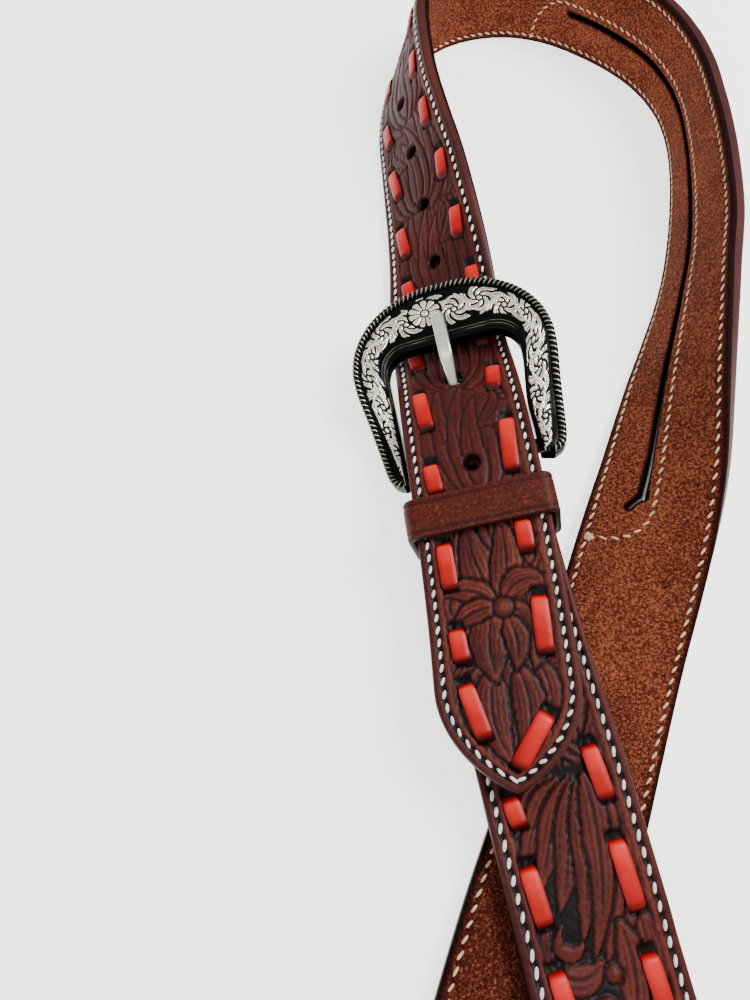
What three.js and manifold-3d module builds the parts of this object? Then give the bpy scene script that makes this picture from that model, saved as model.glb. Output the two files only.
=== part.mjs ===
// Split-ear headstall for a western bridle, laid down in one loose loop with its cheek strap buckled.
// Millimetres, +Z up. The model stands on Z = 0, with the origin under the middle of its box.
import * as THREE from 'three';
import { mergeVertices } from 'three/addons/utils/BufferGeometryUtils.js';
import Module from 'manifold-3d';

const wasm = await Module();
wasm.setup();

// ---- driving dimensions ---------------------------------------------------------------------------
const strapWidth = 31.75;          // 1 1/4 in straps
const faceThickness = 2.7;         // tooled outer leather
const liningThickness = 1.4;       // rough-out lining
const layerGap = 0.3;              // clearance between pieces that touch
const strapThickness = faceThickness + layerGap + liningThickness;
const stationStep = 10;            // spacing of the strap's cross-sections
const billetTipLength = 22;        // the pointed end of the crown strap
const billetTipPower = 0.75;
const stitchInset = 2.2;
const threadWidth = 0.8;
const threadThickness = 0.4;
const laceOffset = 9.5;            // lace row from the strap's middle
const laceWidth = 3.6;
const laceThickness = 0.4;
const trimHeight = 0.8;            // room for the thread and lace under a strap that lies face down
const bitEndWidth = 22;
const bitEndTaper = 32;
const bitLoopRadius = 8;           // to the middle of the leather
const screwLift = 1.5;             // the bit ends lie on their screw heads
const lowestHoleAt = -5;           // spare buckle holes, from the heel bar along the billet
const nextHoleAt = 46.5;
const holePitch = 21;
const holesAbove = 5;
const holeRadius = 2.4;
const slitStitchInset = 2.8;
const slitCrossing = 20;           // the slit's stitching reaches this far past its ends
const earSlitWidth = 2.4;
const earSlitOffset = -2.8;        // from the strap's middle, towards its lower edge
const earSlitStart = 314;          // distances along the crown strap from the billet tip
const earSlitEnd = 522;

// buckle, in its own axes: x across the strap, y along it from the heel bar to the front, z out of the face
const buckleOrigin = new THREE.Vector3(26.2, 90.7, 10.4);
const buckleHeading = 8.5;         // degrees
const buckleLean = 14;             // degrees, its right side up
const heelBarRadius = 2;
const frameThickness = 4.6;
const frameRise = 6.2;             // the front bar stands this far above the heel bar
const frameRiseStart = 6;
const frameRiseEnd = 33;
const strapsAcross = -0.9;         // the straps sit this far to one side of the frame's middle
const tongueAcross = -1.3;
const openingHalfWidth = 17.8;
const openingEnd = 33;
const openingCorner = 7;
const legFoot = -2.6;              // the legs' inner edges start here
const frameHalfOutline = [         // x, y of the frame's right half
  [19.4, -3.6], [21.8, -2.8], [23, -0.6], [23.6, 3], [24.6, 10], [25.6, 17], [26.8, 24],
  [27, 29.5], [25.8, 35.5], [23.5, 40.3], [20.3, 44.3], [16.3, 47.5], [11, 50], [4.5, 51.4]];
const tongueSideLine = [           // y, z along the tongue's middle
  [0, 0], [7, 0.4], [13, 0.4], [17, 1.6], [20.5, 4.6], [24.5, 7.9], [29, 9.9], [36, 10.5], [41, 10.7]];
const tongueBladeStart = 0.06;     // share of that line inside the eye
const tongueTipStart = 0.97;
const tongueTipShare = 0.6;        // thickness left at the tip
const tongueWidth = 3.6;
const tongueThickness = 2.7;
const tongueEyeRadius = 4.3;
const tongueSlotHalfWidth = 2.6;
const tongueHoleAt = 20;           // from the heel bar
const tongueHoleHalfLength = 7.5;
const tongueHoleHalfWidth = 3.2;
const tongueHoleAcross = -0.6;
const keeperMiddle = -17.5;
const keeperBand = 10.2;
const keeperThickness = 1.6;
const keeperCorner = 2.6;
const keeperInnerCorner = 0.6;
const keeperClearance = 0.6;
const keeperAcross = -1.5;
const keeperHeading = 7.6;         // degrees
const billetHeight = 8.2;          // middle of the billet above the heel bar's axis
const cheekHeight = 2.8;           // middle of the cheek strap above the heel bar's axis
const flapLength = 40;
const flapEnd = 6;                 // where the flap meets the turn round the heel bar
const flapSinkStart = 11;          // the flap drops under the heel bar over this stretch
const flapSinkLength = 7;
const liningStart = 7;             // the cheek's lining starts clear of the heel bar
const cheekLaceStart = 12;
const crownLaceStart = 15;         // clear of the billet's point

// folds of the bit ends, by distance from the end of the laid-out route
const crownFold = { turnAt: 34, backAt: 4, endAt: -26 };
const cheekFold = { levelAt: 28, levelTo: 50, turnAt: 78, endAt: 30 };
const cheekTaperStart = 6;         // before the end of the cheek's route
const crownScrewPlaces = [-2, -18];
const cheekScrewPlaces = [34, 45];
const screwHeadRadius = 5;
const screwHeadThickness = 1.2;
const postRadius = 2.5;
const postBore = 1.6;
const postFloor = 1;               // the post's bore stops this far above its foot
const postMouth = 0.5;             // and opens this far below the top of the stack
const screwTip = 2;
const screwRadius = 1.3;

// Laid-out routes, one station a row: x, y, lean (degrees), lift above the lowest place it could lie in.
// Lean turns the strap about its own length: 0 is face up, 90 stands on edge, 180 is face down.
const crownStations = [
  [29.7, 10.5, 6, 10.9], [29, 28, 8, 10.7], [27.8, 47, 11, 11.1], [26, 66, 13.5, 12.0],
  [24.7, 78, 14, 12.3], [23.3, 90.4, 14, 12.3], [22.3, 102.3, 14, 10.6], [21.8, 113.3, 14, 6.6],
  [21.2, 123.6, 15, 2.4], [20.2, 134, 18, 0.4], [19.3, 145, 27, 0.2], [18.2, 157, 37, 0],
  [16.5, 172, 45, 0], [14.6, 187, 51, 0], [12.2, 202, 58, 0], [10.3, 217, 63, 0],
  [10.0, 231, 68, 0], [11.3, 245, 75, 0], [15.3, 257.5, 82, 0], [23.3, 268.5, 88, 0],
  [34.5, 274.8, 90, 0], [48.5, 276.8, 90, 0], [62.3, 273.8, 90, 0], [75, 266.3, 90, 0],
  [86, 256, 88, 0], [94.3, 244.8, 88, 0], [99.3, 231.5, 88, 0], [101.2, 217.5, 90, 0],
  [100.8, 203, 93, 0], [99.4, 188.5, 97, 0], [97.3, 174, 101, 0], [94.1, 158, 105.5, 0],
  [89.8, 143.5, 109, 0], [85.2, 129, 116, 0], [80.8, 115.2, 124, 0], [76.8, 101.3, 133, 0],
  [73, 87.3, 145, 0], [68.4, 73.2, 159, 0], [63, 58.5, 171, 0], [57.2, 43.5, 178, 0],
  [49.4, 23.5, 180, 0], [41.5, 3.6, 180, 0], [33.2, -16, 180, 0], [25.9, -35, 180, 0],
  [19, -54, 180, 0], [13, -74, 180, 0], [8.5, -95, 180, 0], [5.5, -117, 180, 0],
  [4, -140, 180, 0.5], [4, -163, 180, screwLift - trimHeight], [4, -186, 180, screwLift - trimHeight],
];
const cheekStations = [
  [24.6, 90.5, -14, 6.9], [26.1, 78, -14, 6.9], [27.7, 66, -13.5, 6.5], [30.6, 50, -12, 5.8],
  [33.9, 33.5, -9.5, 5.6], [37.6, 17, -7, 5.7], [40.8, 1, -4, 5.7], [43.8, -14, -1, 5.7],
  [46.8, -29, 3, 4.4], [50.5, -46, 6, 2.7], [55, -64, 3, 0.3], [60, -82, 0, 0],
  [65, -100, 0, 0], [70, -118, 0, 0],
];

// ---- small helpers --------------------------------------------------------------------------------
const radians = THREE.MathUtils.degToRad;
const up = new THREE.Vector3(0, 0, 1);
const smooth = (x) => THREE.MathUtils.smoothstep(x, 0, 1);
const mix = THREE.MathUtils.lerp;

function steps(from, to, spacing) {
  const count = Math.max(1, Math.round(Math.abs(to - from) / spacing));
  return Array.from({ length: count + 1 }, (_, i) => mix(from, to, i / count));
}

// height of a strap's middle when its lowest corner touches Z = 0
function restHeight(lean) {
  const [rise, flat] = [Math.abs(Math.sin(lean)), Math.abs(Math.cos(lean))];
  const onLeather = (strapWidth / 2) * rise + (strapThickness / 2) * flat;
  if (Math.cos(lean) > 0) return onLeather;
  const trimEdge = strapWidth / 2 - stitchInset + threadWidth / 2;
  return Math.max(onLeather, trimEdge * rise + (strapThickness / 2 + trimHeight) * flat);
}

// A route gives the strap's frame at a distance along it: point, along, across and face normal.
function makeRoute(stations) {
  const curve = (pick) => new THREE.CatmullRomCurve3(stations.map(pick), false, 'catmullrom', 0.5);
  const plan = curve(([x, y]) => new THREE.Vector3(x, y, 0));
  const attitude = curve(([, , lean, lift]) => new THREE.Vector3(radians(lean), lift, 0));
  const place = (t) => {
    const { x: lean, y: lift } = attitude.getPoint(t);
    return plan.getPoint(t).setZ(restHeight(lean) + lift);
  };
  const samples = (stations.length - 1) * 24;
  const table = [{ t: 0, s: 0, point: place(0) }];
  for (let i = 1; i <= samples; i++) {
    const point = place(i / samples);
    const last = table[i - 1];
    table.push({ t: i / samples, s: last.s + point.distanceTo(last.point), point });
  }
  const length = table[samples].s;
  const at = (s) => {
    const i = Math.min(samples, Math.max(1, table.findIndex((row) => row.s >= s)));
    const [a, b] = [table[i - 1], table[i]];
    const t = mix(a.t, b.t, (s - a.s) / (b.s - a.s));
    const near = 0.2 / samples;
    const along = place(Math.min(1, t + near)).sub(place(Math.max(0, t - near))).normalize();
    const lean = attitude.getPoint(t).x;
    const side = along.clone().cross(up).normalize();
    const across = side.clone().multiplyScalar(Math.cos(lean));
    across.addScaledVector(side.cross(along), Math.sin(lean));
    return { point: place(t), along, across, normal: across.clone().cross(along) };
  };
  return { at, length };
}

// Carries a route's last frame on through a profile in the upright plane along the strap.
function profileFrames(start, profile) {
  const forward = start.along.clone().setZ(0).normalize();
  const toPoint = ([x, height]) => (
    start.point.clone().addScaledVector(forward, x).addScaledVector(up, height));
  const points = profile.map(toPoint);
  return points.map((point, i) => {
    const before = points[Math.max(0, i - 1)];
    const after = points[Math.min(points.length - 1, i + 1)];
    const along = after.clone().sub(before).normalize();
    return { point, along, across: start.across, normal: start.across.clone().cross(along).normalize() };
  });
}
const lineProfile = (x0, x1, height, spacing = 5) => steps(x0, x1, spacing).map((x) => [x, height]);
const easeProfile = (x0, h0, x1, h1) => (
  steps(x0, x1, 4).map((x) => [x, mix(h0, h1, smooth((x - x0) / (x1 - x0)))]));
function arcProfile(x, height, radius, from, to) {
  const toPoint = (a) => [x + radius * Math.cos(radians(a)), height + radius * Math.sin(radians(a))];
  return steps(from, to, 20).map(toPoint);
}
const joinProfiles = (...parts) => parts.flatMap((part, i) => (i ? part.slice(1) : part));

// distances from the first frame, measured along the leather
function measure(frames) {
  let s = 0;
  frames.forEach((frame, i) => {
    if (i) s += frame.point.distanceTo(frames[i - 1].point);
    frame.s = s;
  });
  return frames;
}

// A closed body swept through frames. edges(frame) gives the lines across it, low and high its two
// surfaces along the normal, and missing(i, j) leaves out the cell after frame i and line j.
function sweep(frames, edges, low, high, missing = () => false) {
  const lines = frames.map(edges);
  const columns = lines[0].length;
  const positions = [];
  frames.forEach(({ point, across, normal }, i) => {
    for (const u of lines[i]) {
      for (const v of [low, high]) {
        positions.push(...point.clone().addScaledVector(across, u).addScaledVector(normal, v).toArray());
      }
    }
  });
  const lowAt = (i, j) => (i * columns + j) * 2;
  const highAt = (i, j) => lowAt(i, j) + 1;
  const index = [];
  const quad = (a, b, c, d) => index.push(a, b, c, a, c, d);
  const present = (i, j) => i >= 0 && j >= 0 && i < frames.length - 1 && j < columns - 1 && !missing(i, j);
  for (let i = 0; i < frames.length - 1; i++) {
    for (let j = 0; j < columns - 1; j++) {
      if (!present(i, j)) continue;
      quad(highAt(i, j), highAt(i, j + 1), highAt(i + 1, j + 1), highAt(i + 1, j));
      quad(lowAt(i, j), lowAt(i + 1, j), lowAt(i + 1, j + 1), lowAt(i, j + 1));
      if (!present(i, j + 1)) {
        quad(lowAt(i, j + 1), lowAt(i + 1, j + 1), highAt(i + 1, j + 1), highAt(i, j + 1));
      }
      if (!present(i, j - 1)) quad(highAt(i, j), highAt(i + 1, j), lowAt(i + 1, j), lowAt(i, j));
      if (!present(i - 1, j)) quad(lowAt(i, j), lowAt(i, j + 1), highAt(i, j + 1), highAt(i, j));
      if (!present(i + 1, j)) {
        quad(highAt(i + 1, j), highAt(i + 1, j + 1), lowAt(i + 1, j + 1), lowAt(i + 1, j));
      }
    }
  }
  const geometry = new THREE.BufferGeometry();
  geometry.setAttribute('position', new THREE.Float32BufferAttribute(positions, 3));
  geometry.setIndex(index);
  return geometry;
}

// A narrow band on a strap's surface through places of [frame, u].
function band(places, halfWidth, low, high) {
  const points = places.map(([frame, u]) => frame.point.clone().addScaledVector(frame.across, u));
  const frames = places.map(([frame], i) => {
    const before = points[Math.max(0, i - 1)];
    const after = points[Math.min(points.length - 1, i + 1)];
    const along = after.clone().sub(before).normalize();
    const across = along.clone().cross(frame.normal).normalize();
    return { point: points[i], across, normal: frame.normal };
  });
  return sweep(frames, () => [-halfWidth, halfWidth], low, high);
}

function toManifold(geometry) {
  const bare = geometry.clone();
  bare.deleteAttribute('normal');
  bare.deleteAttribute('uv');
  const merged = mergeVertices(bare, 1e-4);
  return new wasm.Manifold(new wasm.Mesh({
    numProp: 3,
    vertProperties: Float32Array.from(merged.attributes.position.array),
    triVerts: Uint32Array.from(merged.index.array),
  }));
}

function fromManifold(solid) {
  const { vertProperties, triVerts } = solid.getMesh();
  const geometry = new THREE.BufferGeometry();
  geometry.setAttribute('position', new THREE.Float32BufferAttribute(vertProperties, 3));
  geometry.setIndex(Array.from(triVerts));
  return geometry;
}

function punch(geometry, holes) {
  let solid = toManifold(geometry);
  for (const hole of holes) solid = solid.subtract(toManifold(hole));
  return fromManifold(solid);
}

// an oval punch through a strap at a frame: half width across and half length along
function punchAt({ point, across, along, normal }, halfAcross, halfAlong) {
  const tool = new THREE.CylinderGeometry(1, 1, 12, 12);
  tool.scale(halfAcross, 1, halfAlong);
  const basis = new THREE.Matrix4().makeBasis(across, normal, across.clone().cross(normal));
  return tool.applyMatrix4(basis.setPosition(point));
}

const leather = { color: 0x5a2a1c, roughness: 0.55, metalness: 0 };
const rawhide = { color: 0x8a4a28, roughness: 0.9, metalness: 0 };
const threadWhite = { color: 0xe8e4dc, roughness: 0.8, metalness: 0 };
const laceRed = { color: 0xd8241c, roughness: 0.5, metalness: 0 };
const silver = { color: 0xb9b6ac, roughness: 0.3, metalness: 1 };

function part(name, geometry, finish) {
  const mesh = new THREE.Mesh(geometry, new THREE.MeshStandardMaterial(finish));
  mesh.name = name;
  return mesh;
}

const headstall = new THREE.Group();

// ---- buckle axes ----------------------------------------------------------------------------------
function leaningAxes(headingDegrees) {
  const [heading, lean] = [radians(headingDegrees), radians(buckleLean)];
  const across = new THREE.Vector3(Math.cos(heading), Math.sin(heading), 0).multiplyScalar(Math.cos(lean));
  across.z = Math.sin(lean);
  const along = new THREE.Vector3(-Math.sin(heading), Math.cos(heading), 0);
  return { point: buckleOrigin, across, along, normal: across.clone().cross(along) };
}
const axesMatrix = ({ point, across, along, normal }) => (
  new THREE.Matrix4().makeBasis(across, along, normal).setPosition(point));
const buckle = leaningAxes(buckleHeading);
const buckleMatrix = axesMatrix(buckle);

// ---- crown strap: billet, loop with the ear slit, and the far bit end ------------------------------
const crownRoute = makeRoute(crownStations);
const faceSurfaces = [strapThickness / 2 - faceThickness, strapThickness / 2];
const liningSurfaces = [-strapThickness / 2, -strapThickness / 2 + liningThickness];
const onFace = [strapThickness / 2 + layerGap, strapThickness / 2 + layerGap + threadThickness];
const onLining = [-strapThickness / 2 - layerGap - threadThickness, -strapThickness / 2 - layerGap];

const crownFoldProfile = joinProfiles(
  lineProfile(0, crownFold.turnAt, 0),
  arcProfile(crownFold.turnAt, bitLoopRadius, bitLoopRadius, -90, 90),
  easeProfile(crownFold.turnAt, 2 * bitLoopRadius, crownFold.backAt, strapThickness + layerGap),
  lineProfile(crownFold.backAt, crownFold.endAt, strapThickness + layerGap),
);

function tipHalfWidth(s, full, length) {
  const x = THREE.MathUtils.clamp(s / length, 0.0015, 1);
  return full * Math.sin((Math.PI / 2) * x ** billetTipPower);
}

function crownHalfWidth(s) {
  const taper = smooth((s - (crownRoute.length - bitEndTaper)) / bitEndTaper);
  return mix(tipHalfWidth(s, strapWidth / 2, billetTipLength), bitEndWidth / 2, taper);
}

function crownDistances() {
  const tip = [0, 0.7, 2, 4, 6.5, 9.5, 13, 17, billetTipLength];
  const body = [...steps(billetTipLength, earSlitStart, stationStep).slice(1),
    ...steps(earSlitStart, earSlitEnd, stationStep).slice(1),
    ...steps(earSlitEnd, crownRoute.length, stationStep).slice(1)];
  return [...tip, ...body];
}

const crownFrames = [...crownDistances().map(crownRoute.at),
  ...profileFrames(crownRoute.at(crownRoute.length), crownFoldProfile).slice(1)];
measure(crownFrames).forEach((frame) => { frame.half = crownHalfWidth(frame.s); });
const crownFoldStart = crownFrames.length - crownFoldProfile.length;

const slitLines = [earSlitOffset - earSlitWidth / 2, earSlitOffset + earSlitWidth / 2];
function crownEdges({ half }) {
  const lines = [-laceOffset, ...slitLines, laceOffset].map((u) => (u / (strapWidth / 2)) * half);
  return [-half, ...lines, half];
}
const nearestFrame = (frames, s) => frames.reduce((best, frame, i) => (
  Math.abs(frame.s - s) < Math.abs(frames[best].s - s) ? i : best), 0);
const slitFrames = [nearestFrame(crownFrames, earSlitStart), nearestFrame(crownFrames, earSlitEnd)];
const alongEarSlit = (i) => i >= slitFrames[0] && i < slitFrames[1];

const heelBarAt = (() => {
  const reachAt = (s) => crownRoute.at(s).point.clone().sub(buckleOrigin).dot(buckle.along);
  const offsets = steps(70, 90, 0.25).map((s) => [s, reachAt(s)]);
  return offsets.reduce((best, row) => (Math.abs(row[1]) < Math.abs(best[1]) ? row : best))[0];
})();
const tongueHoleFrame = crownRoute.at(heelBarAt + tongueHoleAt);
tongueHoleFrame.point.addScaledVector(tongueHoleFrame.across, tongueHoleAcross);
const crownHoles = [punchAt(tongueHoleFrame, tongueHoleHalfWidth, tongueHoleHalfLength)];
const upperHoles = Array.from({ length: holesAbove }, (_, k) => nextHoleAt + k * holePitch);
const spareHoles = [lowestHoleAt, ...upperHoles];
for (const reach of spareHoles) {
  crownHoles.push(punchAt(crownRoute.at(heelBarAt + reach), holeRadius, holeRadius));
}

// ---- screws of the two bit ends ---------------------------------------------------------------------
const stackThickness = 2 * strapThickness + layerGap;
const crownEnd = crownFrames[crownFoldStart];

function screwFrame(end, x, bottom) {
  const forward = end.along.clone().setZ(0).normalize();
  const point = end.point.clone().setZ(bottom).addScaledVector(forward, x);
  return { point, across: end.across, along: forward, normal: up };
}
const lathe = (profile) => {
  const geometry = new THREE.LatheGeometry(profile.map(([r, h]) => new THREE.Vector2(r, h)), 16);
  return geometry.rotateX(Math.PI / 2);
};
function addScrew(place, label) {
  const post = lathe([[0, -layerGap - screwHeadThickness], [screwHeadRadius, -layerGap - screwHeadThickness],
    [screwHeadRadius, -layerGap], [postRadius, -layerGap], [postRadius, stackThickness - postMouth],
    [postBore, stackThickness - postMouth], [postBore, postFloor], [0, postFloor]]);
  const headBase = stackThickness + layerGap;
  const screw = lathe([[0, screwTip], [screwRadius, screwTip], [screwRadius, headBase],
    [screwHeadRadius, headBase], [screwHeadRadius, headBase + screwHeadThickness], [0, headBase + screwHeadThickness]]);
  for (const [name, geometry] of [[`${label}_post`, post], [`${label}_screw`, screw]]) {
    headstall.add(part(name, geometry.translate(place.point.x, place.point.y, place.point.z), silver));
  }
}

const crownScrewFrames = crownScrewPlaces.map((x) => screwFrame(crownEnd, x, screwLift));
const throughBoth = (frame) => {
  const point = frame.point.clone().addScaledVector(up, stackThickness / 2);
  return punchAt({ ...frame, point }, postRadius + layerGap, postRadius + layerGap);
};
crownHoles.push(...crownScrewFrames.map(throughBoth));
crownScrewFrames.forEach((frame, i) => addScrew(frame, `crown_bit_screw_${i + 1}`));

const crownLayer = (surfaces) => (
  sweep(crownFrames, crownEdges, ...surfaces, (i, j) => j === 2 && alongEarSlit(i)));
headstall.add(part('crown_face', punch(crownLayer(faceSurfaces), crownHoles), leather));
headstall.add(part('crown_lining', punch(crownLayer(liningSurfaces), crownHoles), rawhide));

// stitching runs up one edge, round the billet tip and back down the other
function edgePlaces(frames, tipStart) {
  const inside = frames.filter(({ s }) => s > tipStart);
  const halfAt = ({ s, half }) => Math.min(half - stitchInset, tipStart
    ? tipHalfWidth(s - tipStart, strapWidth / 2 - stitchInset, billetTipLength - tipStart) : half);
  const left = inside.map((frame) => [frame, -halfAt(frame)]).reverse();
  const right = inside.map((frame) => [frame, halfAt(frame)]);
  return [left, right];
}
const flatCrown = crownFrames.slice(0, crownFoldStart - 2);
const [crownLeftEdge, crownRightEdge] = edgePlaces(flatCrown, stitchInset + 1.2);
const threadBand = (places) => band(places, threadWidth / 2, ...onFace);
headstall.add(part('crown_stitching', threadBand([...crownLeftEdge, ...crownRightEdge]), threadWhite));

// the slit's own row leaves the inner edge above it, follows its far side and comes back below it
const slitPlaces = () => {
  const innerRow = -(strapWidth / 2 - stitchInset);
  const beside = earSlitOffset + earSlitWidth / 2 + slitStitchInset;
  const cross = slitCrossing;
  return steps(earSlitStart - cross, earSlitEnd + cross, 7).map((s) => {
    const inwards = Math.max(earSlitStart - s, s - earSlitEnd, 0) / cross;
    return [crownRoute.at(s), mix(beside, innerRow, smooth(inwards))];
  });
};
headstall.add(part('ear_slit_stitching', band(slitPlaces(), threadWidth / 2, ...onLining), threadWhite));

function addLaces(strap, frames) {
  for (const [side, sign] of [['left', -1], ['right', 1]]) {
    const places = frames.map((frame) => [frame, sign * laceOffset]);
    const low = strapThickness / 2 + layerGap;
    const strip = band(places, laceWidth / 2, low, low + laceThickness);
    headstall.add(part(`${strap}_lace_${side}`, strip, laceRed));
  }
}
const lacedCrown = crownFrames.filter(({ s }) => s > crownLaceStart && s < crownRoute.length - bitEndTaper);
addLaces('crown', lacedCrown);

// ---- cheek strap: turned round the heel bar at the top, bit end at the bottom ------------------------
const cheekRoute = makeRoute(cheekStations);
const { levelAt, levelTo, turnAt, endAt } = cheekFold;
const overHeight = screwLift + strapThickness + layerGap;
const cheekFoldProfile = joinProfiles(
  easeProfile(0, 0, levelAt, overHeight),
  lineProfile(levelAt, levelTo, overHeight),
  easeProfile(levelTo, overHeight, turnAt, screwLift + 2 * bitLoopRadius),
  arcProfile(turnAt, screwLift + bitLoopRadius, bitLoopRadius, 90, -90),
  lineProfile(turnAt, endAt, screwLift),
);
const cheekMain = [...steps(0, cheekRoute.length, stationStep).map(cheekRoute.at),
  ...profileFrames(cheekRoute.at(cheekRoute.length), cheekFoldProfile).slice(1)];
measure(cheekMain).forEach((frame) => {
  const taper = smooth((frame.s - cheekRoute.length + cheekTaperStart) / bitEndTaper);
  frame.half = mix(strapWidth / 2, bitEndWidth / 2, taper);
});
const cheekFoldStart = cheekMain.length - cheekFoldProfile.length;

// the outer leather turns round the heel bar and comes back under the strap as a flap
const faceMiddle = (faceSurfaces[0] + faceSurfaces[1]) / 2;
const wrapRadius = heelBarRadius + layerGap + faceThickness / 2;
const flapDepth = -strapThickness / 2 - layerGap - faceThickness / 2;
const offsetFrame = (frame, v) => ({ ...frame, point: frame.point.clone().addScaledVector(frame.normal, v) });

function heelWrapFrames() {
  return steps(-90, 90, 22.5).map((angle) => {
    const [y, z] = [Math.cos(radians(angle)), Math.sin(radians(angle))];
    const normal = buckle.along.clone().multiplyScalar(y).addScaledVector(buckle.normal, z);
    const point = buckleOrigin.clone().addScaledVector(buckle.across, strapsAcross);
    point.addScaledVector(normal, wrapRadius);
    return { point, across: buckle.across.clone().negate(), normal };
  });
}
function flapFrames() {
  const reach = steps(flapLength, flapEnd, 5);
  return reach.map((s) => {
    const frame = cheekRoute.at(s);
    const sink = mix(flapDepth, -cheekHeight - wrapRadius, smooth((flapSinkStart - s) / flapSinkLength));
    return { ...offsetFrame(frame, sink), normal: frame.normal.clone().negate() };
  });
}
const cheekFaceFrames = [...flapFrames(), ...heelWrapFrames(),
  ...cheekMain.slice(1).map((frame) => offsetFrame(frame, faceMiddle))];
const flapCount = flapFrames().length;
const wrapCount = heelWrapFrames().length;
cheekFaceFrames.forEach((frame) => { frame.half ??= strapWidth / 2; });
const tongueEdges = ({ half }) => [-half, -tongueSlotHalfWidth, tongueSlotHalfWidth, half];
const inTongueSlot = (i, j) => j === 1 && i >= flapCount - 1 && i < flapCount + wrapCount;

const cheekEnd = { ...cheekMain[cheekFoldStart] };
const cheekScrewFrames = cheekScrewPlaces.map((x) => screwFrame(cheekEnd, x, screwLift));
cheekScrewFrames.forEach((frame, i) => addScrew(frame, `cheek_bit_screw_${i + 1}`));
const cheekHoles = cheekScrewFrames.map(throughBoth);
const halfFace = faceThickness / 2;
headstall.add(part('cheek_face',
  punch(sweep(cheekFaceFrames, tongueEdges, -halfFace, halfFace, inTongueSlot), cheekHoles), leather));
const linedCheek = cheekMain.filter(({ s }) => s >= liningStart);
headstall.add(part('cheek_lining',
  punch(sweep(linedCheek, tongueEdges, ...liningSurfaces), cheekHoles), rawhide));

const flatCheek = cheekMain.filter(({ s }) => s >= liningStart && s < cheekRoute.length);
const [cheekLeftEdge, cheekRightEdge] = edgePlaces(flatCheek, 0);
const topPlaces = [[flatCheek[0], 0]];
const cheekThread = threadBand([...cheekLeftEdge, ...topPlaces, ...cheekRightEdge]);
headstall.add(part('cheek_stitching', cheekThread, threadWhite));
addLaces('cheek', flatCheek.filter(({ s }) => s > cheekLaceStart && s < cheekRoute.length - cheekTaperStart));

// ---- buckle frame, tongue and keeper ----------------------------------------------------------------
const frameRiseAt = (y) => frameRise * smooth((y - frameRiseStart) / (frameRiseEnd - frameRiseStart));

function buckleFrameGeometry() {
  const shape = new THREE.Shape();
  shape.moveTo(openingHalfWidth, legFoot);
  frameHalfOutline.forEach(([x, y]) => shape.lineTo(x, y));
  [...frameHalfOutline].reverse().forEach(([x, y]) => shape.lineTo(-x, y));
  shape.lineTo(-openingHalfWidth, legFoot);
  for (const y of steps(2, openingEnd - openingCorner, 5)) shape.lineTo(-openingHalfWidth, y);
  const corner = (x, sign) => steps(0, 90, 18).forEach((a) => shape.lineTo(
    x - sign * openingCorner * Math.cos(radians(sign > 0 ? a : 90 - a)),
    openingEnd - openingCorner + openingCorner * Math.sin(radians(sign > 0 ? a : 90 - a)),
  ));
  corner(-openingHalfWidth + openingCorner, 1);
  corner(openingHalfWidth - openingCorner, -1);
  for (const y of steps(openingEnd - openingCorner, 2, 5)) shape.lineTo(openingHalfWidth, y);
  const slab = new THREE.ExtrudeGeometry(shape, { depth: frameThickness, bevelEnabled: false });
  slab.translate(0, 0, -frameThickness / 2);
  const position = slab.attributes.position;
  for (let i = 0; i < position.count; i++) position.setZ(i, position.getZ(i) + frameRiseAt(position.getY(i)));
  const barLength = 2 * openingHalfWidth + 4;
  const bar = new THREE.CylinderGeometry(heelBarRadius, heelBarRadius, barLength, 16).rotateZ(Math.PI / 2);
  return fromManifold(toManifold(slab).add(toManifold(bar)));
}
headstall.add(part('buckle_frame', buckleFrameGeometry().applyMatrix4(buckleMatrix), silver));

const tongueLine = new THREE.SplineCurve(tongueSideLine.map(([y, z]) => new THREE.Vector2(y, z)));

function tongueGeometry() {
  const side = (sign) => steps(tongueBladeStart, 1, 0.047).map((t) => {
    const along = tongueLine.getTangent(t);
    const half = (tongueThickness / 2) * (t > tongueTipStart ? tongueTipShare : 1);
    return tongueLine.getPoint(t).add(new THREE.Vector2(-along.y, along.x).multiplyScalar(sign * half));
  });
  const shape = new THREE.Shape([...side(-1), ...side(1).reverse()]);
  const blade = new THREE.ExtrudeGeometry(shape, { depth: tongueWidth, bevelEnabled: false });
  const eye = new THREE.Shape().absarc(0, 0, tongueEyeRadius, 0, 2 * Math.PI);
  const boreRadius = heelBarRadius + layerGap;
  eye.holes.push(new THREE.Path().absarc(0, 0, boreRadius, 0, 2 * Math.PI, true));
  const ring = new THREE.ExtrudeGeometry(eye, { depth: tongueWidth, bevelEnabled: false, curveSegments: 24 });
  const bore = new THREE.CylinderGeometry(boreRadius, boreRadius, 3 * tongueWidth, 24);
  const solid = toManifold(blade).add(toManifold(ring)).subtract(toManifold(bore.rotateX(Math.PI / 2)));
  const [x, y, z] = [new THREE.Vector3(1, 0, 0), new THREE.Vector3(0, 1, 0), new THREE.Vector3(0, 0, 1)];
  const turn = new THREE.Matrix4().makeBasis(y, z, x);
  return fromManifold(solid).translate(0, 0, tongueAcross - tongueWidth / 2).applyMatrix4(turn);
}
headstall.add(part('buckle_tongue', tongueGeometry().applyMatrix4(buckleMatrix), silver));

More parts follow.
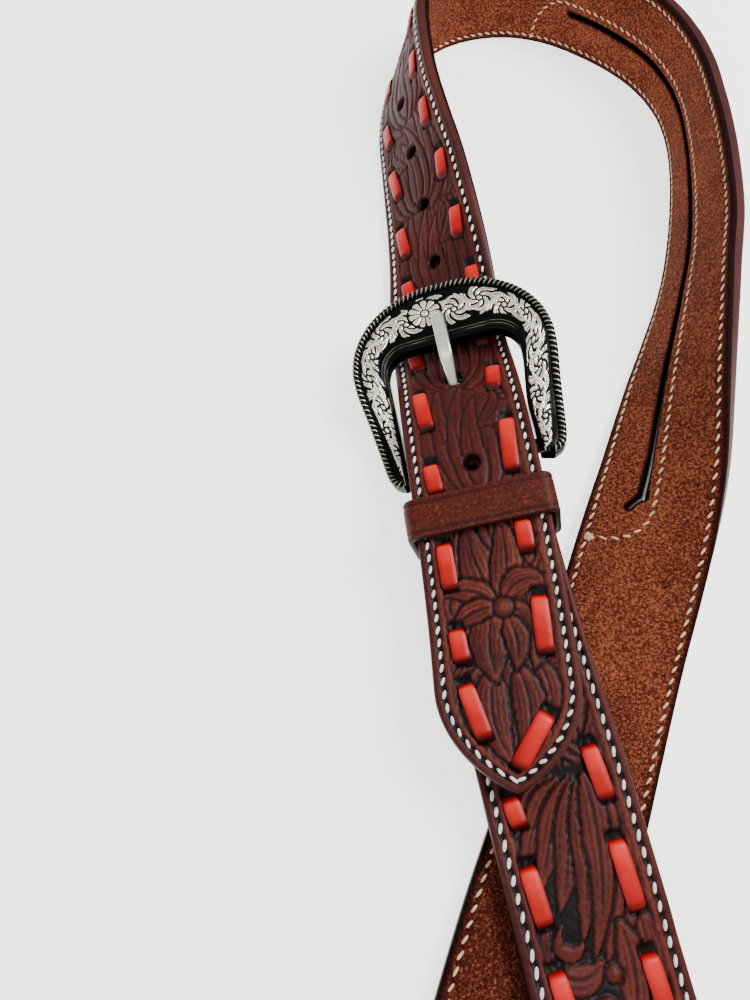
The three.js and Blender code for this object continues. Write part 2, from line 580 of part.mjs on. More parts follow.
function roundedBox(halfWidth, low, high, radius, hole = false) {
  const path = hole ? new THREE.Path() : new THREE.Shape();
  path.absarc(halfWidth - radius, high - radius, radius, 0, Math.PI / 2);
  path.absarc(-halfWidth + radius, high - radius, radius, Math.PI / 2, Math.PI);
  path.absarc(-halfWidth + radius, low + radius, radius, Math.PI, 1.5 * Math.PI);
  path.absarc(halfWidth - radius, low + radius, radius, 1.5 * Math.PI, 2 * Math.PI);
  return path;
}
function keeperGeometry() {
  const half = strapWidth / 2 + keeperClearance;
  const low = cheekHeight + flapDepth - faceThickness / 2 - keeperClearance;
  const high = billetHeight + strapThickness / 2 + trimHeight + layerGap;
  const [outerLow, outerHigh] = [low - keeperThickness, high + keeperThickness];
  const shape = roundedBox(half + keeperThickness, outerLow, outerHigh, keeperCorner);
  shape.holes.push(roundedBox(half, low, high, keeperInnerCorner, true));
  const ring = new THREE.ExtrudeGeometry(shape, { depth: keeperBand, bevelEnabled: false, curveSegments: 3 });
  return ring.rotateX(Math.PI / 2).translate(keeperAcross, keeperMiddle + keeperBand / 2, 0);
}
headstall.add(part('keeper', keeperGeometry().applyMatrix4(axesMatrix(leaningAxes(keeperHeading))), leather));

// ---- stand the model on Z = 0 with its middle over the origin ----------------------------------------
const box = new THREE.Box3().setFromObject(headstall);
const middle = box.getCenter(new THREE.Vector3());
headstall.position.set(-middle.x, -middle.y, -box.min.z);

export default headstall;
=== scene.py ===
import bpy
import math
import numpy as np
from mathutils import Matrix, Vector


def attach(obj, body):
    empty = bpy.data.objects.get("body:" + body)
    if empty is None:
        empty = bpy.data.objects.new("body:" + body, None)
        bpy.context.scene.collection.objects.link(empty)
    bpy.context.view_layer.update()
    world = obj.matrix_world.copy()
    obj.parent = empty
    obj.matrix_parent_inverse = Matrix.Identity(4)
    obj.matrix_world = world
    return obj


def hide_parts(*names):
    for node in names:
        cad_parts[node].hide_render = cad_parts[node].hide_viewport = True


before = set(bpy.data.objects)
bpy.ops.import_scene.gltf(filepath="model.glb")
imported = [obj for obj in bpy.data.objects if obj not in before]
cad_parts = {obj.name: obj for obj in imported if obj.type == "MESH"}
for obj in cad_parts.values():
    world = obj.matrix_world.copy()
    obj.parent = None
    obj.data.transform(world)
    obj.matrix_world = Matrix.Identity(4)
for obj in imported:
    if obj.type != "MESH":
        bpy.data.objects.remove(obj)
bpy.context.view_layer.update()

# ---- layout, in millimetres, as in the CAD model ----
MM = 0.001
LAYOUT_SHIFT = np.array([-46.222, -24.760, 0.022])   # from the layout's own zero to the part's origin
STRAP_WIDTH = 31.75
FACE_THICKNESS = 2.7
LINING_THICKNESS = 1.4
LAYER_GAP = 0.3
THICKNESS = FACE_THICKNESS + LAYER_GAP + LINING_THICKNESS
HALF_THICKNESS = THICKNESS / 2
TRIM_HEIGHT = 0.8
STITCH_INSET = 2.2
THREAD_WIDTH = 0.8
LACE_OFFSET = 9.5
LACE_SLANT = 0.7
LACE_HALF_WIDTH = 1.9
TIP_LENGTH = 22
TIP_POWER = 0.75
BIT_END_WIDTH = 22
BIT_END_TAPER = 32
BIT_LOOP_RADIUS = 8
SCREW_LIFT = 1.5
FLAP_LENGTH = 40
EAR_SLIT = (314, 522)
EAR_SLIT_OFFSET = -2.8
EAR_SLIT_WIDTH = 2.4
SLIT_STITCH_INSET = 2.8
BUCKLE_ORIGIN = np.array([26.2, 90.7, 10.4])
BUCKLE_LEAN = 14
BUCKLE_HEADING = 8.5
KEEPER_HEADING = 7.6
CHEEK_HEIGHT, BILLET_HEIGHT = 2.8, 8.2     # of the straps' middles above the heel bar
BAR_RADIUS = 2
STRAPS_ACROSS = -0.9
TONGUE_ACROSS = -1.3
LOWEST_HOLE, NEXT_HOLE, HOLE_PITCH = -5, 46.5, 21       # places from the heel bar
TONGUE_HOLE = (22.4, 23.8)
TONGUE_HOLE_ACROSS, TONGUE_HOLE_HALF = -0.4, 2.0
KEEPER_CLEARANCE = 0.6

CROWN_STATIONS = [   # x, y, lean in degrees, lift
    (29.7, 10.5, 6, 10.9), (29, 28, 8, 10.7), (27.8, 47, 11, 11.1), (26, 66, 13.5, 12.0),
    (24.7, 78, 14, 12.3), (23.3, 90.4, 14, 12.3), (22.3, 102.3, 14, 10.6), (21.8, 113.3, 14, 6.6),
    (21.2, 123.6, 15, 2.4), (20.2, 134, 18, 0.4), (19.3, 145, 27, 0.2), (18.2, 157, 37, 0),
    (16.5, 172, 45, 0), (14.6, 187, 51, 0), (12.2, 202, 58, 0), (10.3, 217, 63, 0),
    (10.0, 231, 68, 0), (11.3, 245, 75, 0), (15.3, 257.5, 82, 0), (23.3, 268.5, 88, 0),
    (34.5, 274.8, 90, 0), (48.5, 276.8, 90, 0), (62.3, 273.8, 90, 0), (75, 266.3, 90, 0),
    (86, 256, 88, 0), (94.3, 244.8, 88, 0), (99.3, 231.5, 88, 0), (101.2, 217.5, 90, 0),
    (100.8, 203, 93, 0), (99.4, 188.5, 97, 0), (97.3, 174, 101, 0), (94.1, 158, 105.5, 0),
    (89.8, 143.5, 109, 0), (85.2, 129, 116, 0), (80.8, 115.2, 124, 0), (76.8, 101.3, 133, 0),
    (73, 87.3, 145, 0), (68.4, 73.2, 159, 0), (63, 58.5, 171, 0), (57.2, 43.5, 178, 0),
    (49.4, 23.5, 180, 0), (41.5, 3.6, 180, 0), (33.2, -16, 180, 0), (25.9, -35, 180, 0),
    (19, -54, 180, 0), (13, -74, 180, 0), (8.5, -95, 180, 0), (5.5, -117, 180, 0),
    (4, -140, 180, 0.5), (4, -163, 180, SCREW_LIFT - TRIM_HEIGHT), (4, -186, 180, SCREW_LIFT - TRIM_HEIGHT)]
CHEEK_STATIONS = [
    (24.6, 90.5, -14, 6.9), (26.1, 78, -14, 6.9), (27.7, 66, -13.5, 6.5), (30.6, 50, -12, 5.8),
    (33.9, 33.5, -9.5, 5.6), (37.6, 17, -7, 5.7), (40.8, 1, -4, 5.7), (43.8, -14, -1, 5.7),
    (46.8, -29, 3, 4.4), (50.5, -46, 6, 2.7), (55, -64, 3, 0.3), (60, -82, 0, 0),
    (65, -100, 0, 0), (70, -118, 0, 0)]


# ---- numbers and curves ----
def smooth(x, low=0.0, high=1.0):
    x = np.clip((np.asarray(x, float) - low) / (high - low), 0, 1)
    return x * x * (3 - 2 * x)


def unit(v):
    return v / np.linalg.norm(v, axis=-1, keepdims=True)


def bell(x, width):
    return np.exp(-(x / width) ** 2)


def full_turn(count):
    return np.linspace(0, 2 * np.pi, count + 1)[:-1]


def run_along(points):
    """The distance run at each point of a line."""
    return np.concatenate([[0], np.cumsum(np.linalg.norm(np.diff(points, axis=0), axis=1))])


def look_up(at, run, table):
    """The rows of a table, known at the places run, read at other places."""
    return np.stack([np.interp(at, run, column) for column in table.T], -1)


def to_frame(points):
    return (np.asarray(points, float) + LAYOUT_SHIFT) * MM


def catmull_rom(stations, t):
    """The stations' curve at t from 0 to 1, with its ends carried on straight."""
    p = np.asarray(stations, float)
    p = np.vstack([2 * p[0] - p[1], p, 2 * p[-1] - p[-2]])
    x = np.clip(t, 0, 1) * (len(p) - 3)
    i = np.minimum(x.astype(int), len(p) - 4)
    w = (x - i)[:, None]
    a, b, c, d = p[i], p[i + 1], p[i + 2], p[i + 3]
    m0, m1 = (c - a) / 2, (d - b) / 2
    return b + m0 * w + (3 * (c - b) - 2 * m0 - m1) * w ** 2 + (2 * (b - c) + m0 + m1) * w ** 3


def rest_height(lean):
    rise, flat = np.abs(np.sin(lean)), np.abs(np.cos(lean))
    on_leather = STRAP_WIDTH / 2 * rise + HALF_THICKNESS * flat
    trim_edge = STRAP_WIDTH / 2 - STITCH_INSET + THREAD_WIDTH / 2
    on_trim = trim_edge * rise + (HALF_THICKNESS + TRIM_HEIGHT) * flat
    return np.where(np.cos(lean) > 0, on_leather, np.maximum(on_leather, on_trim))


class Course:
    """Where a strap runs: point, across and normal at each distance s along it, and its half width."""

    def __init__(self, s, point, across, normal, half):
        self.s, self.point, self.across, self.normal, self.half = s, point, across, normal, half

    def place(self, s, u, v):
        """Points at distance s, u across and v out along the normal, in layout millimetres."""
        s, u, v = np.broadcast_arrays(s, u, v)
        across, _, normal = self.axes(s)
        return look_up(s, self.s, self.point) + across * u[..., None] + normal * v[..., None]

    def axes(self, s):
        across, normal = unit(look_up(s, self.s, self.across)), unit(look_up(s, self.s, self.normal))
        return across, np.cross(normal, across), normal

    def half_at(self, s):
        return np.interp(s, self.s, self.half)


def laid_course(stations):
    """The laid-out part of a strap, finely sampled."""
    samples = (len(stations) - 1) * 24

    def place(t):
        x, y, lean, lift = catmull_rom(stations, t).T
        return np.stack([x, y, rest_height(np.radians(lean)) + lift], 1)

    t = np.linspace(0, 1, samples + 1)
    coarse = place(t)
    s = run_along(coarse)
    fine = np.arange(0, s[-1], 0.5)
    fine = np.append(fine, s[-1])
    t = np.interp(fine, s, t)
    near = 0.2 / samples
    along = unit(place(np.minimum(1, t + near)) - place(np.maximum(0, t - near)))
    lean = np.radians(catmull_rom(stations, t)[:, 2])[:, None]
    side = unit(np.cross(along, [0, 0, 1.0]))
    across = side * np.cos(lean) + np.cross(side, along) * np.sin(lean)
    return fine, place(t), across, np.cross(across, along), along


def line(x0, x1, height):
    x = np.linspace(x0, x1, max(2, int(abs(x1 - x0) / 0.5)))
    return np.stack([x, np.full_like(x, height)], 1)


def ease(x0, h0, x1, h1):
    x = np.linspace(x0, x1, max(2, int(abs(x1 - x0) / 0.5)))
    return np.stack([x, h0 + (h1 - h0) * smooth((x - x0) / (x1 - x0))], 1)


def arc(x, height, radius, start, stop):
    a = np.radians(np.linspace(start, stop, 50))
    return np.stack([x + radius * np.cos(a), height + radius * np.sin(a)], 1)


def with_bit_end(laid, profile, taper_start):
    """Carries a laid course on through its bit end's fold, and gives both a half width."""
    s, point, across, normal, along = laid
    forward = unit(np.array([along[-1][0], along[-1][1], 0]))
    p = np.vstack([profile[0][:1]] + [part[1:] for part in profile])
    fold = point[-1] + forward * p[:, :1] + np.array([0, 0, 1.0]) * p[:, 1:]
    turn = unit(np.gradient(fold, axis=0))
    fold_across = np.repeat(across[-1:], len(fold), 0)
    fold_normal = unit(np.cross(fold_across, turn))
    fold_s = s[-1] + run_along(fold)
    s = np.append(s, fold_s[1:])
    taper = smooth((s - taper_start) / BIT_END_TAPER)
    half = STRAP_WIDTH / 2 + (BIT_END_WIDTH / 2 - STRAP_WIDTH / 2) * taper
    return Course(s, np.vstack([point, fold[1:]]), np.vstack([across, fold_across[1:]]),
                  np.vstack([normal, fold_normal[1:]]), half)


def tip_half_width(s, full, length):
    return full * np.sin(np.pi / 2 * np.clip(s / length, 0.0015, 1) ** TIP_POWER)


STACK = THICKNESS + LAYER_GAP
CROWN_LAID = laid_course(CROWN_STATIONS)
CROWN_LENGTH = CROWN_LAID[0][-1]
crown = with_bit_end(CROWN_LAID, [
    line(0, 34, 0), arc(34, BIT_LOOP_RADIUS, BIT_LOOP_RADIUS, -90, 90),
    ease(34, 2 * BIT_LOOP_RADIUS, 4, STACK), line(4, -26, STACK)], CROWN_LENGTH - BIT_END_TAPER)
crown.half *= tip_half_width(crown.s, 1, TIP_LENGTH)

CHEEK_LAID = laid_course(CHEEK_STATIONS)
CHEEK_LENGTH = CHEEK_LAID[0][-1]
UNDER, OVER = SCREW_LIFT, SCREW_LIFT + STACK
cheek = with_bit_end(CHEEK_LAID, [
    ease(0, 0, 28, OVER), line(28, 50, OVER), ease(50, OVER, 78, UNDER + 2 * BIT_LOOP_RADIUS),
    arc(78, UNDER + BIT_LOOP_RADIUS, BIT_LOOP_RADIUS, 90, -90), line(78, 30, UNDER)], CHEEK_LENGTH - 6)


def leaning_axes(heading):
    a, r = math.radians(heading), math.radians(BUCKLE_LEAN)
    across = np.array([math.cos(a) * math.cos(r), math.sin(a) * math.cos(r), math.sin(r)])
    along = np.array([-math.sin(a), math.cos(a), 0])
    return across, along, np.cross(across, along)


def on_buckle(points, heading=BUCKLE_HEADING):
    """Points given across, along and out of the buckle, from its heel bar, in layout millimetres."""
    return BUCKLE_ORIGIN + np.asarray(points, float) @ np.array(leaning_axes(heading))


FACE_MIDDLE = HALF_THICKNESS - FACE_THICKNESS / 2
WRAP_RADIUS = BAR_RADIUS + LAYER_GAP + FACE_THICKNESS / 2
FLAP_DEPTH = -HALF_THICKNESS - LAYER_GAP - FACE_THICKNESS / 2


def cheek_face_course():
    """The cheek's outer leather: flap, turn round the heel bar, then the strap and its bit end."""
    back = np.arange(FLAP_LENGTH, 6, -0.5)
    sink = FLAP_DEPTH + (-CHEEK_HEIGHT - WRAP_RADIUS - FLAP_DEPTH) * smooth((11 - back) / 7)
    b_across, b_along, b_normal = leaning_axes(BUCKLE_HEADING)
    turn = np.radians(np.linspace(-90, 90, 37))[:, None]
    out = b_along * np.cos(turn) + b_normal * np.sin(turn)
    wrap = BUCKLE_ORIGIN + b_across * STRAPS_ACROSS + out * WRAP_RADIUS
    main = cheek.s >= 6
    flap_across, _, flap_normal = cheek.axes(back)
    point = np.vstack([cheek.place(back, 0, sink), wrap, cheek.place(cheek.s[main], 0, FACE_MIDDLE)])
    across = np.vstack([flap_across, np.repeat(-b_across[None], len(wrap), 0), cheek.across[main]])
    normal = np.vstack([-flap_normal, out, cheek.normal[main]])
    s = run_along(point)
    turned = len(back) + len(wrap)
    half = np.append(np.full(turned, STRAP_WIDTH / 2), cheek.half[main])
    s += cheek.s[main][0] - s[turned]
    return Course(s, point, across, normal, half), s[len(back)], s[turned - 1]


cheek_face, WRAP_START, WRAP_END = cheek_face_course()


# ---- meshes ----
def make_object(name, body, slot, shape, replaced=()):
    """A mesh riding on a CAD body, from points in layout millimetres, quads and values of each point."""
    points, faces, values_of = shape
    points, faces = np.asarray(points, float).reshape(-1, 3), np.asarray(faces, np.int32)
    used = np.unique(faces)
    renumber = np.full(len(points), -1, np.int32)
    renumber[used] = np.arange(len(used))
    faces = renumber[faces]
    mesh = bpy.data.meshes.new(name)
    mesh.vertices.add(len(used))
    mesh.vertices.foreach_set("co", to_frame(points[used]).astype(np.float32).ravel())
    mesh.loops.add(faces.size)
    mesh.loops.foreach_set("vertex_index", faces.ravel())
    mesh.polygons.add(len(faces))
    mesh.polygons.foreach_set("loop_start", np.arange(0, faces.size, 4, dtype=np.int32))
    mesh.polygons.foreach_set("use_smooth", np.ones(len(faces), bool))
    for key, values in values_of.items():
        layer = mesh.attributes.new(key, "FLOAT", "POINT")
        layer.data.foreach_set("value", np.asarray(values, np.float32).ravel()[used])
    mesh.update(calc_edges=True)
    mesh.validate()
    mesh.materials.append(LOOKS[slot])
    obj = bpy.data.objects.new(name, mesh)
    bpy.context.scene.collection.objects.link(obj)
    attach(obj, body)
    if replaced:
        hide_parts(*replaced)


def grid_faces(rows, columns, wrap_rows=False, wrap_columns=False):
    """Quads between neighbours in a grid of points."""
    i = np.arange(rows if wrap_rows else rows - 1)[:, None]
    j = np.arange(columns if wrap_columns else columns - 1)[None]
    i1, j1 = (i + 1) % rows, (j + 1) % columns
    corners = [i * columns + j, i * columns + j1, i1 * columns + j1, i1 * columns + j]
    return np.stack([np.broadcast_to(c, (i.size, j.size)) for c in corners], -1).reshape(-1, 4)


def gridded(points, tone, wrap_rows=False, wrap_columns=True):
    """Rows and columns of points as a (points, faces, tone) piece."""
    faces = grid_faces(*points.shape[:2], wrap_rows, wrap_columns)
    return points.reshape(-1, 3), faces, np.broadcast_to(tone, points.shape[:2]).ravel()


def joined(pieces):
    """Several (points, faces, tone) pieces as one shape."""
    faces, tones, first = [], [], 0
    for points, quads, tone in pieces:
        faces.append(quads + first)
        tones.append(tone)
        first += len(points)
    return np.vstack([piece[0] for piece in pieces]), np.vstack(faces), {"tone": np.concatenate(tones)}


def leather_skin(course, s, columns, height, base, cut=None, flip=False, backed=None):
    """One outer surface of a strap with the walls down to base, holes cut where cut(s, u) < 0.

    The rows marked in backed also get a surface at base.
    """
    S = np.repeat(s[:, None], len(columns), 1)
    U = course.half_at(S) * columns
    keep = np.ones((len(s) - 1, len(columns) - 1), bool)
    gap = np.full_like(S, 9.0)
    if cut is not None:
        middle = 0.25 * (S[1:, 1:] + S[:-1, 1:] + S[1:, :-1] + S[:-1, :-1])
        middle_u = 0.25 * (U[1:, 1:] + U[:-1, 1:] + U[1:, :-1] + U[:-1, :-1])
        keep = cut(middle, middle_u) > 0
        near = np.zeros(S.shape, int)
        for a, b in ((0, 0), (0, 1), (1, 0), (1, 1)):
            near[a:a + keep.shape[0], b:b + keep.shape[1]] += keep
        inner = np.zeros(S.shape, bool)
        inner[1:-1, 1:-1] = True
        rim = (near > 0) & (near < 4) & inner
        step, reach = 0.02, 1.2
        slope_s = (cut(S + step, U) - cut(S - step, U)) / (2 * step)
        slope_u = (cut(S, U + step) - cut(S, U - step)) / (2 * step)
        shift = np.clip(cut(S, U), -reach, reach) * rim
        S, U = S - shift * slope_s, U - shift * slope_u
        gap = np.maximum(cut(S, U), 0)
    V, attributes = height(S, U, gap)
    top, low = course.place(S, U, V), course.place(S, U, base)
    index = np.arange(S.size).reshape(S.shape)
    a, b, c, d = index[:-1, :-1], index[:-1, 1:], index[1:, 1:], index[1:, :-1]
    faces = [np.stack([a, b, c, d], -1)[keep]]
    padded = np.pad(keep, 1)
    for p, q, near in ((a, b, padded[:-2, 1:-1]), (b, c, padded[1:-1, 2:]),
                       (c, d, padded[2:, 1:-1]), (d, a, padded[1:-1, :-2])):
        edge = keep & ~near
        faces.append(np.stack([q[edge], p[edge], p[edge] + S.size, q[edge] + S.size], -1))
    if backed is not None:
        under = keep & backed[:-1, None]
        faces.append(np.stack([d, c, b, a], -1)[under] + S.size)
    faces = np.vstack(faces)
    if flip:
        faces = faces[:, ::-1]
    points = np.vstack([top.reshape(-1, 3), low.reshape(-1, 3)])
    return points, faces, {k: np.concatenate([v.ravel(), v.ravel()]) for k, v in attributes.items()}


def edge_distance(course, S, U):
    slope = np.interp(S, course.s, np.gradient(course.half, course.s))
    return (course.half_at(S) - np.abs(U)) / np.sqrt(1 + slope ** 2)


def edge_drop(distance, radius):
    x = 1 - np.clip(distance / radius, 0, 1)
    return radius * (1 - np.sqrt(1 - x ** 2))


def ripple(S, U, seed, size):
    """Smooth irregular noise of about -1 to 1 from summed waves."""
    rng = np.random.default_rng(seed)
    total = np.zeros(np.shape(S))
    for _ in range(7):
        k = rng.normal(0, 2.4 / size, 2)
        total = total + np.sin(k[0] * S + k[1] * U + rng.uniform(0, 6.28))
    return total / 4


def strap_columns(pitch, extra=()):
    """Places across a strap as shares of its half width, finer at its rims, and exact at the extra ones."""
    half = STRAP_WIDTH / 2
    inner = np.linspace(-(half - 0.9), half - 0.9, int(2 * half / pitch))
    rim = half - np.array([0, 0.12, 0.35])
    u = np.concatenate([-rim, inner, rim[::-1]])
    for value in extra:
        u[np.argmin(np.abs(u - value))] = value
    return np.sort(u) / half


def strap_rows(low, high, pitch, coarse_pitch, detailed):
    """Places along a strap: fine in the detailed stretch, and coarse outside it."""
    fine = np.arange(max(low, detailed[0]), min(high, detailed[1]), pitch)
    before = np.arange(low, fine[0], coarse_pitch)
    after = np.arange(fine[-1] + coarse_pitch, high, coarse_pitch)
    return np.concatenate([before, fine, after, [high]])


# ---- carved tooling ----
TOOL_FLOOR = -0.5       # depth of the stippled ground round the carving
FIELD_HALF = 11.8       # half width of the carved field
SWEEP = 34              # length of one sweep of the running scroll


def follow(points, count):
    """Points along a quadratic or a cubic curve, given by its three or four handles."""
    t = np.linspace(0, 1, count)[:, None]
    p = np.asarray(points, float)
    if len(p) == 3:
        return (1 - t) ** 2 * p[0] + 2 * t * (1 - t) * p[1] + t ** 2 * p[2]
    return (1 - t) ** 3 * p[0] + 3 * t * (1 - t) ** 2 * p[1] + 3 * t ** 2 * (1 - t) * p[2] + t ** 3 * p[3]


def blurred(table, reach):
    """The mean over a square window, taken twice along each axis."""
    for axis in (0, 0, 1, 1):
        room = [(reach, reach) if k == axis else (0, 0) for k in (0, 1)]
        total = np.moveaxis(np.cumsum(np.pad(table, room, mode="edge"), axis), axis, 0)
        table = np.moveaxis((total[2 * reach:] - total[:-2 * reach]) / (2 * reach), 0, axis)
    return table


class Carving:
    """A relief map over a strap's (s, u): flowing lines with leaves and seeds stamped in."""

    def __init__(self, low, high, pitch=0.25):
        self.s = np.arange(low, high, pitch)
        self.u = np.arange(-16.0, 16.01, pitch)
        self.S, self.U = np.meshgrid(self.s, self.u, indexing="ij")
        self.pitch = pitch
        flow = (self.U / 1.5 + 3.0 * np.sin(2 * np.pi * self.S / 46 + 0.6 * np.sin(2 * np.pi * self.S / 31))
                + 1.2 * np.sin(2 * np.pi * self.S / 23 + self.U / 5))
        furrow = np.abs(flow - np.round(flow))
        self.z = -0.16 + 0.10 * (self.U / 12) ** 2 - 0.36 * bell(furrow, 0.15)
        self.z += 0.05 * ripple(self.S, self.U, 3, 0.5)
        self.awl = np.zeros_like(self.z)

    def window(self, points, margin):
        """The part of the map that holds the points and a margin round them."""
        lo, hi = np.min(points, 0) - margin, np.max(points, 0) + margin
        i0, i1 = np.searchsorted(self.s, [lo[0], hi[0]])
        j0, j1 = np.searchsorted(self.u, [lo[1], hi[1]])
        return slice(i0, i1), slice(j0, j1)

    def round_spot(self, s, u, margin):
        """The part of the map round a spot, and where its points lie from the spot."""
        window = self.window(np.array([[s, u]]), margin)
        return window, self.S[window] - s, self.U[window] - u

    def nearest(self, window, curve):
        """Each point's distance from a curve, the share of the curve it is beside, and its side."""
        S, U = self.S[window], self.U[window]
        best = np.full(S.shape, 1e9)
        along, side = np.zeros(S.shape), np.zeros(S.shape)
        for k in range(len(curve) - 1):
            a, d = curve[k], curve[k + 1] - curve[k]
            x = np.clip(((S - a[0]) * d[0] + (U - a[1]) * d[1]) / (d @ d), 0, 1)
            ds, du = S - a[0] - x * d[0], U - a[1] - x * d[1]
            r = np.hypot(ds, du)
            closer = r < best
            best = np.where(closer, r, best)
            along = np.where(closer, (k + x) / (len(curve) - 1), along)
            side = np.where(closer, np.sign(d[0] * du - d[1] * ds), side)
        return best, along, side

    def leaf(self, points, width, lobes, height, tip=0.75, vein=True):
        """A leaf along a curve, with its veins and the outline pressed round it."""
        curve = follow(points, 22)
        window = self.window(curve, width + 1)
        if self.z[window].size == 0:
            return
        r, t, side = self.nearest(window, curve)
        half = width * np.sin(np.pi * np.clip(t, 0.02, 0.995) ** tip) ** 0.8
        half = half * (1 - 0.10 * np.abs(np.sin(np.pi * (lobes * t + 0.25 * side))) ** 2)
        x = r / np.maximum(half, 0.15)
        z = height - 0.30 * np.clip(x, 0, 1) ** 3 + 0.06 * side * (1 - x)
        rows = max(1.0, round(width / 1.25))
        strand = np.abs(x * rows - np.round(x * rows)) * half / rows
        fade = smooth(t, 0.03, 0.25) * smooth(1 - t, 0.02, 0.2) * (x < 0.9)
        z = z - 0.26 * bell(strand, 0.22) * fade * vein
        z = z - 0.30 * bell(r, 0.3) * np.clip(3 * (1 - t), 0, 1) * vein
        near = self.z[window]
        outline = (x >= 1) & (r - half < 0.6)
        near = np.where(x < 1, z, near)
        self.z[window] = np.where(outline, np.minimum(near, TOOL_FLOOR - 0.15), near)

    def dome(self, s, u, radius, height=0.35, ring=True):
        """A round seed with a groove round it."""
        window, ds, du = self.round_spot(s, u, radius + 1)
        r = np.hypot(ds, du)
        x = np.clip(r / radius, 0, 1)
        z = TOOL_FLOOR + (height - TOOL_FLOOR) * np.sqrt(1 - x ** 2)
        if ring:
            z = z - 0.25 * bell(r - 0.62 * radius, 0.2)
        groove = (r >= radius) & (r < radius + 0.45)
        near = np.where(r < radius, z, self.z[window])
        self.z[window] = np.where(groove, TOOL_FLOOR - 0.25, near)

    def acanthus(self, root, end, bend, width, blades, side):
        """A curled leaf built of overlapping blades fanning from a curved rib."""
        root, end = np.asarray(root, float), np.asarray(end, float)
        line_of = end - root
        out = np.array([-line_of[1], line_of[0]]) / np.linalg.norm(line_of)
        middle = (root + end) / 2 + out * bend
        rib = follow([root, middle, end], blades + 2)
        for k in range(blades, 0, -1):
            d = rib[k + 1] - rib[k - 1]
            d = d / np.linalg.norm(d)
            for way in (side, -side):
                n = np.array([-d[1], d[0]]) * way
                reach = width * (1.15 - 0.5 * abs(2 * k / (blades + 1) - 1)) * (1 if way == side else 0.7)
                start = rib[k] - d * reach * 0.35
                self.leaf([start, rib[k] + n * reach * 0.6 + d * reach * 0.1,
                           rib[k] + n * reach * 0.85 + d * reach * 0.95], reach * 0.26, 2, 0.1)
        self.leaf([rib[0], middle, rib[-1]], width * 0.24, 4, 0.2, 0.65)

    def finish(self, contrast, brightest, calm_after=1e9):
        """Keeps the border smooth, with a wavy bevelled line beside it, and works out the tone: darker on the
        low ground and in the cuts, partly the matted ground's own dark and partly painted shade, and lighter
        on the ridges as painted highlight.
        """
        edge = FIELD_HALF + 0.35 * np.sin(self.S * 2 * np.pi / 6.5)
        d = np.abs(self.U) - edge
        bevel = smooth(d, -0.9, 0.1)
        self.z = self.z * (1 - bevel) - 0.32 * bell(d + 0.1, 0.3)
        blurry = blurred(self.z, 5)
        # Past calm_after the carving is shallower with flatter tone, and a little darker: painted shade of
        # the buckle over the strap, carried on beyond it.
        calm = 1 - 0.4 * smooth(self.S, calm_after, calm_after + 8)
        self.z *= calm
        # deep is painted shade in the cuts and furrows; relief above its blur is painted highlight, below it
        # painted shade.
        deep = 0.3 * smooth(-self.z, 0.36, 0.5) * (np.abs(self.U) < FIELD_HALF)
        raised = 0.5 + contrast * calm * (self.z - blurry) + 0.2 * (self.z + 0.15)
        self.tone = np.clip(raised - deep - 0.2 * (1 - calm), 0, brightest)

    def sample(self, table, S, U):
        """A table's values at places between the map's own points."""
        x = np.clip((S - self.s[0]) / self.pitch, 0, len(self.s) - 1.001)
        y = np.clip((U - self.u[0]) / self.pitch, 0, len(self.u) - 1.001)
        i, j = x.astype(int), y.astype(int)
        a, b = x - i, y - j
        return ((table[i, j] * (1 - a) + table[i + 1, j] * a) * (1 - b)
                + (table[i, j + 1] * (1 - a) + table[i + 1, j + 1] * a) * b)


def scroll(c, s, side):
    """One sweep of the running leaf scroll, swinging to one side of the strap."""
    for line_points, width in (
            ([(s - 2, -3), (s + 6, -9), (s + 15, -11), (s + 24, -9.5)], 2.4),
            ([(s, 7), (s + 5, 11.5), (s + 13, 12), (s + 20, 10)], 2.2),
            ([(s, 5), (s + 8, 9), (s + 16, 8), (s + 22, 9.5)], 2.3),
            ([(s, -1), (s + 10, -6.5), (s + 22, -7.5), (s + 36, -5)], 2.6),
            ([(s, 3), (s + 8, 5.5), (s + 17, 3.5), (s + 25, 6.5)], 2.6),
            ([(s, 0), (s + 10, -3), (s + 22, -4), (s + 33, 1)], 2.6),
            ([(s + 2, 1.5), (s + 11, 1), (s + 20, -0.5), (s + 28, 3.5)], 2.7),
            ([(s + 19, 4), (s + 21, 9.5), (s + 28, 11.5), (s + 32, 6.5)], 2.6)):
        c.leaf([(x, side * y) for x, y in line_points], width, 3, 0.12, 0.62)


def sweeps(start, stop):
    """Where each sweep between start and stop begins, and the side it swings to."""
    return [(start + SWEEP * k, -1 if k % 2 else 1) for k in range(math.ceil((stop - start) / SWEEP))]


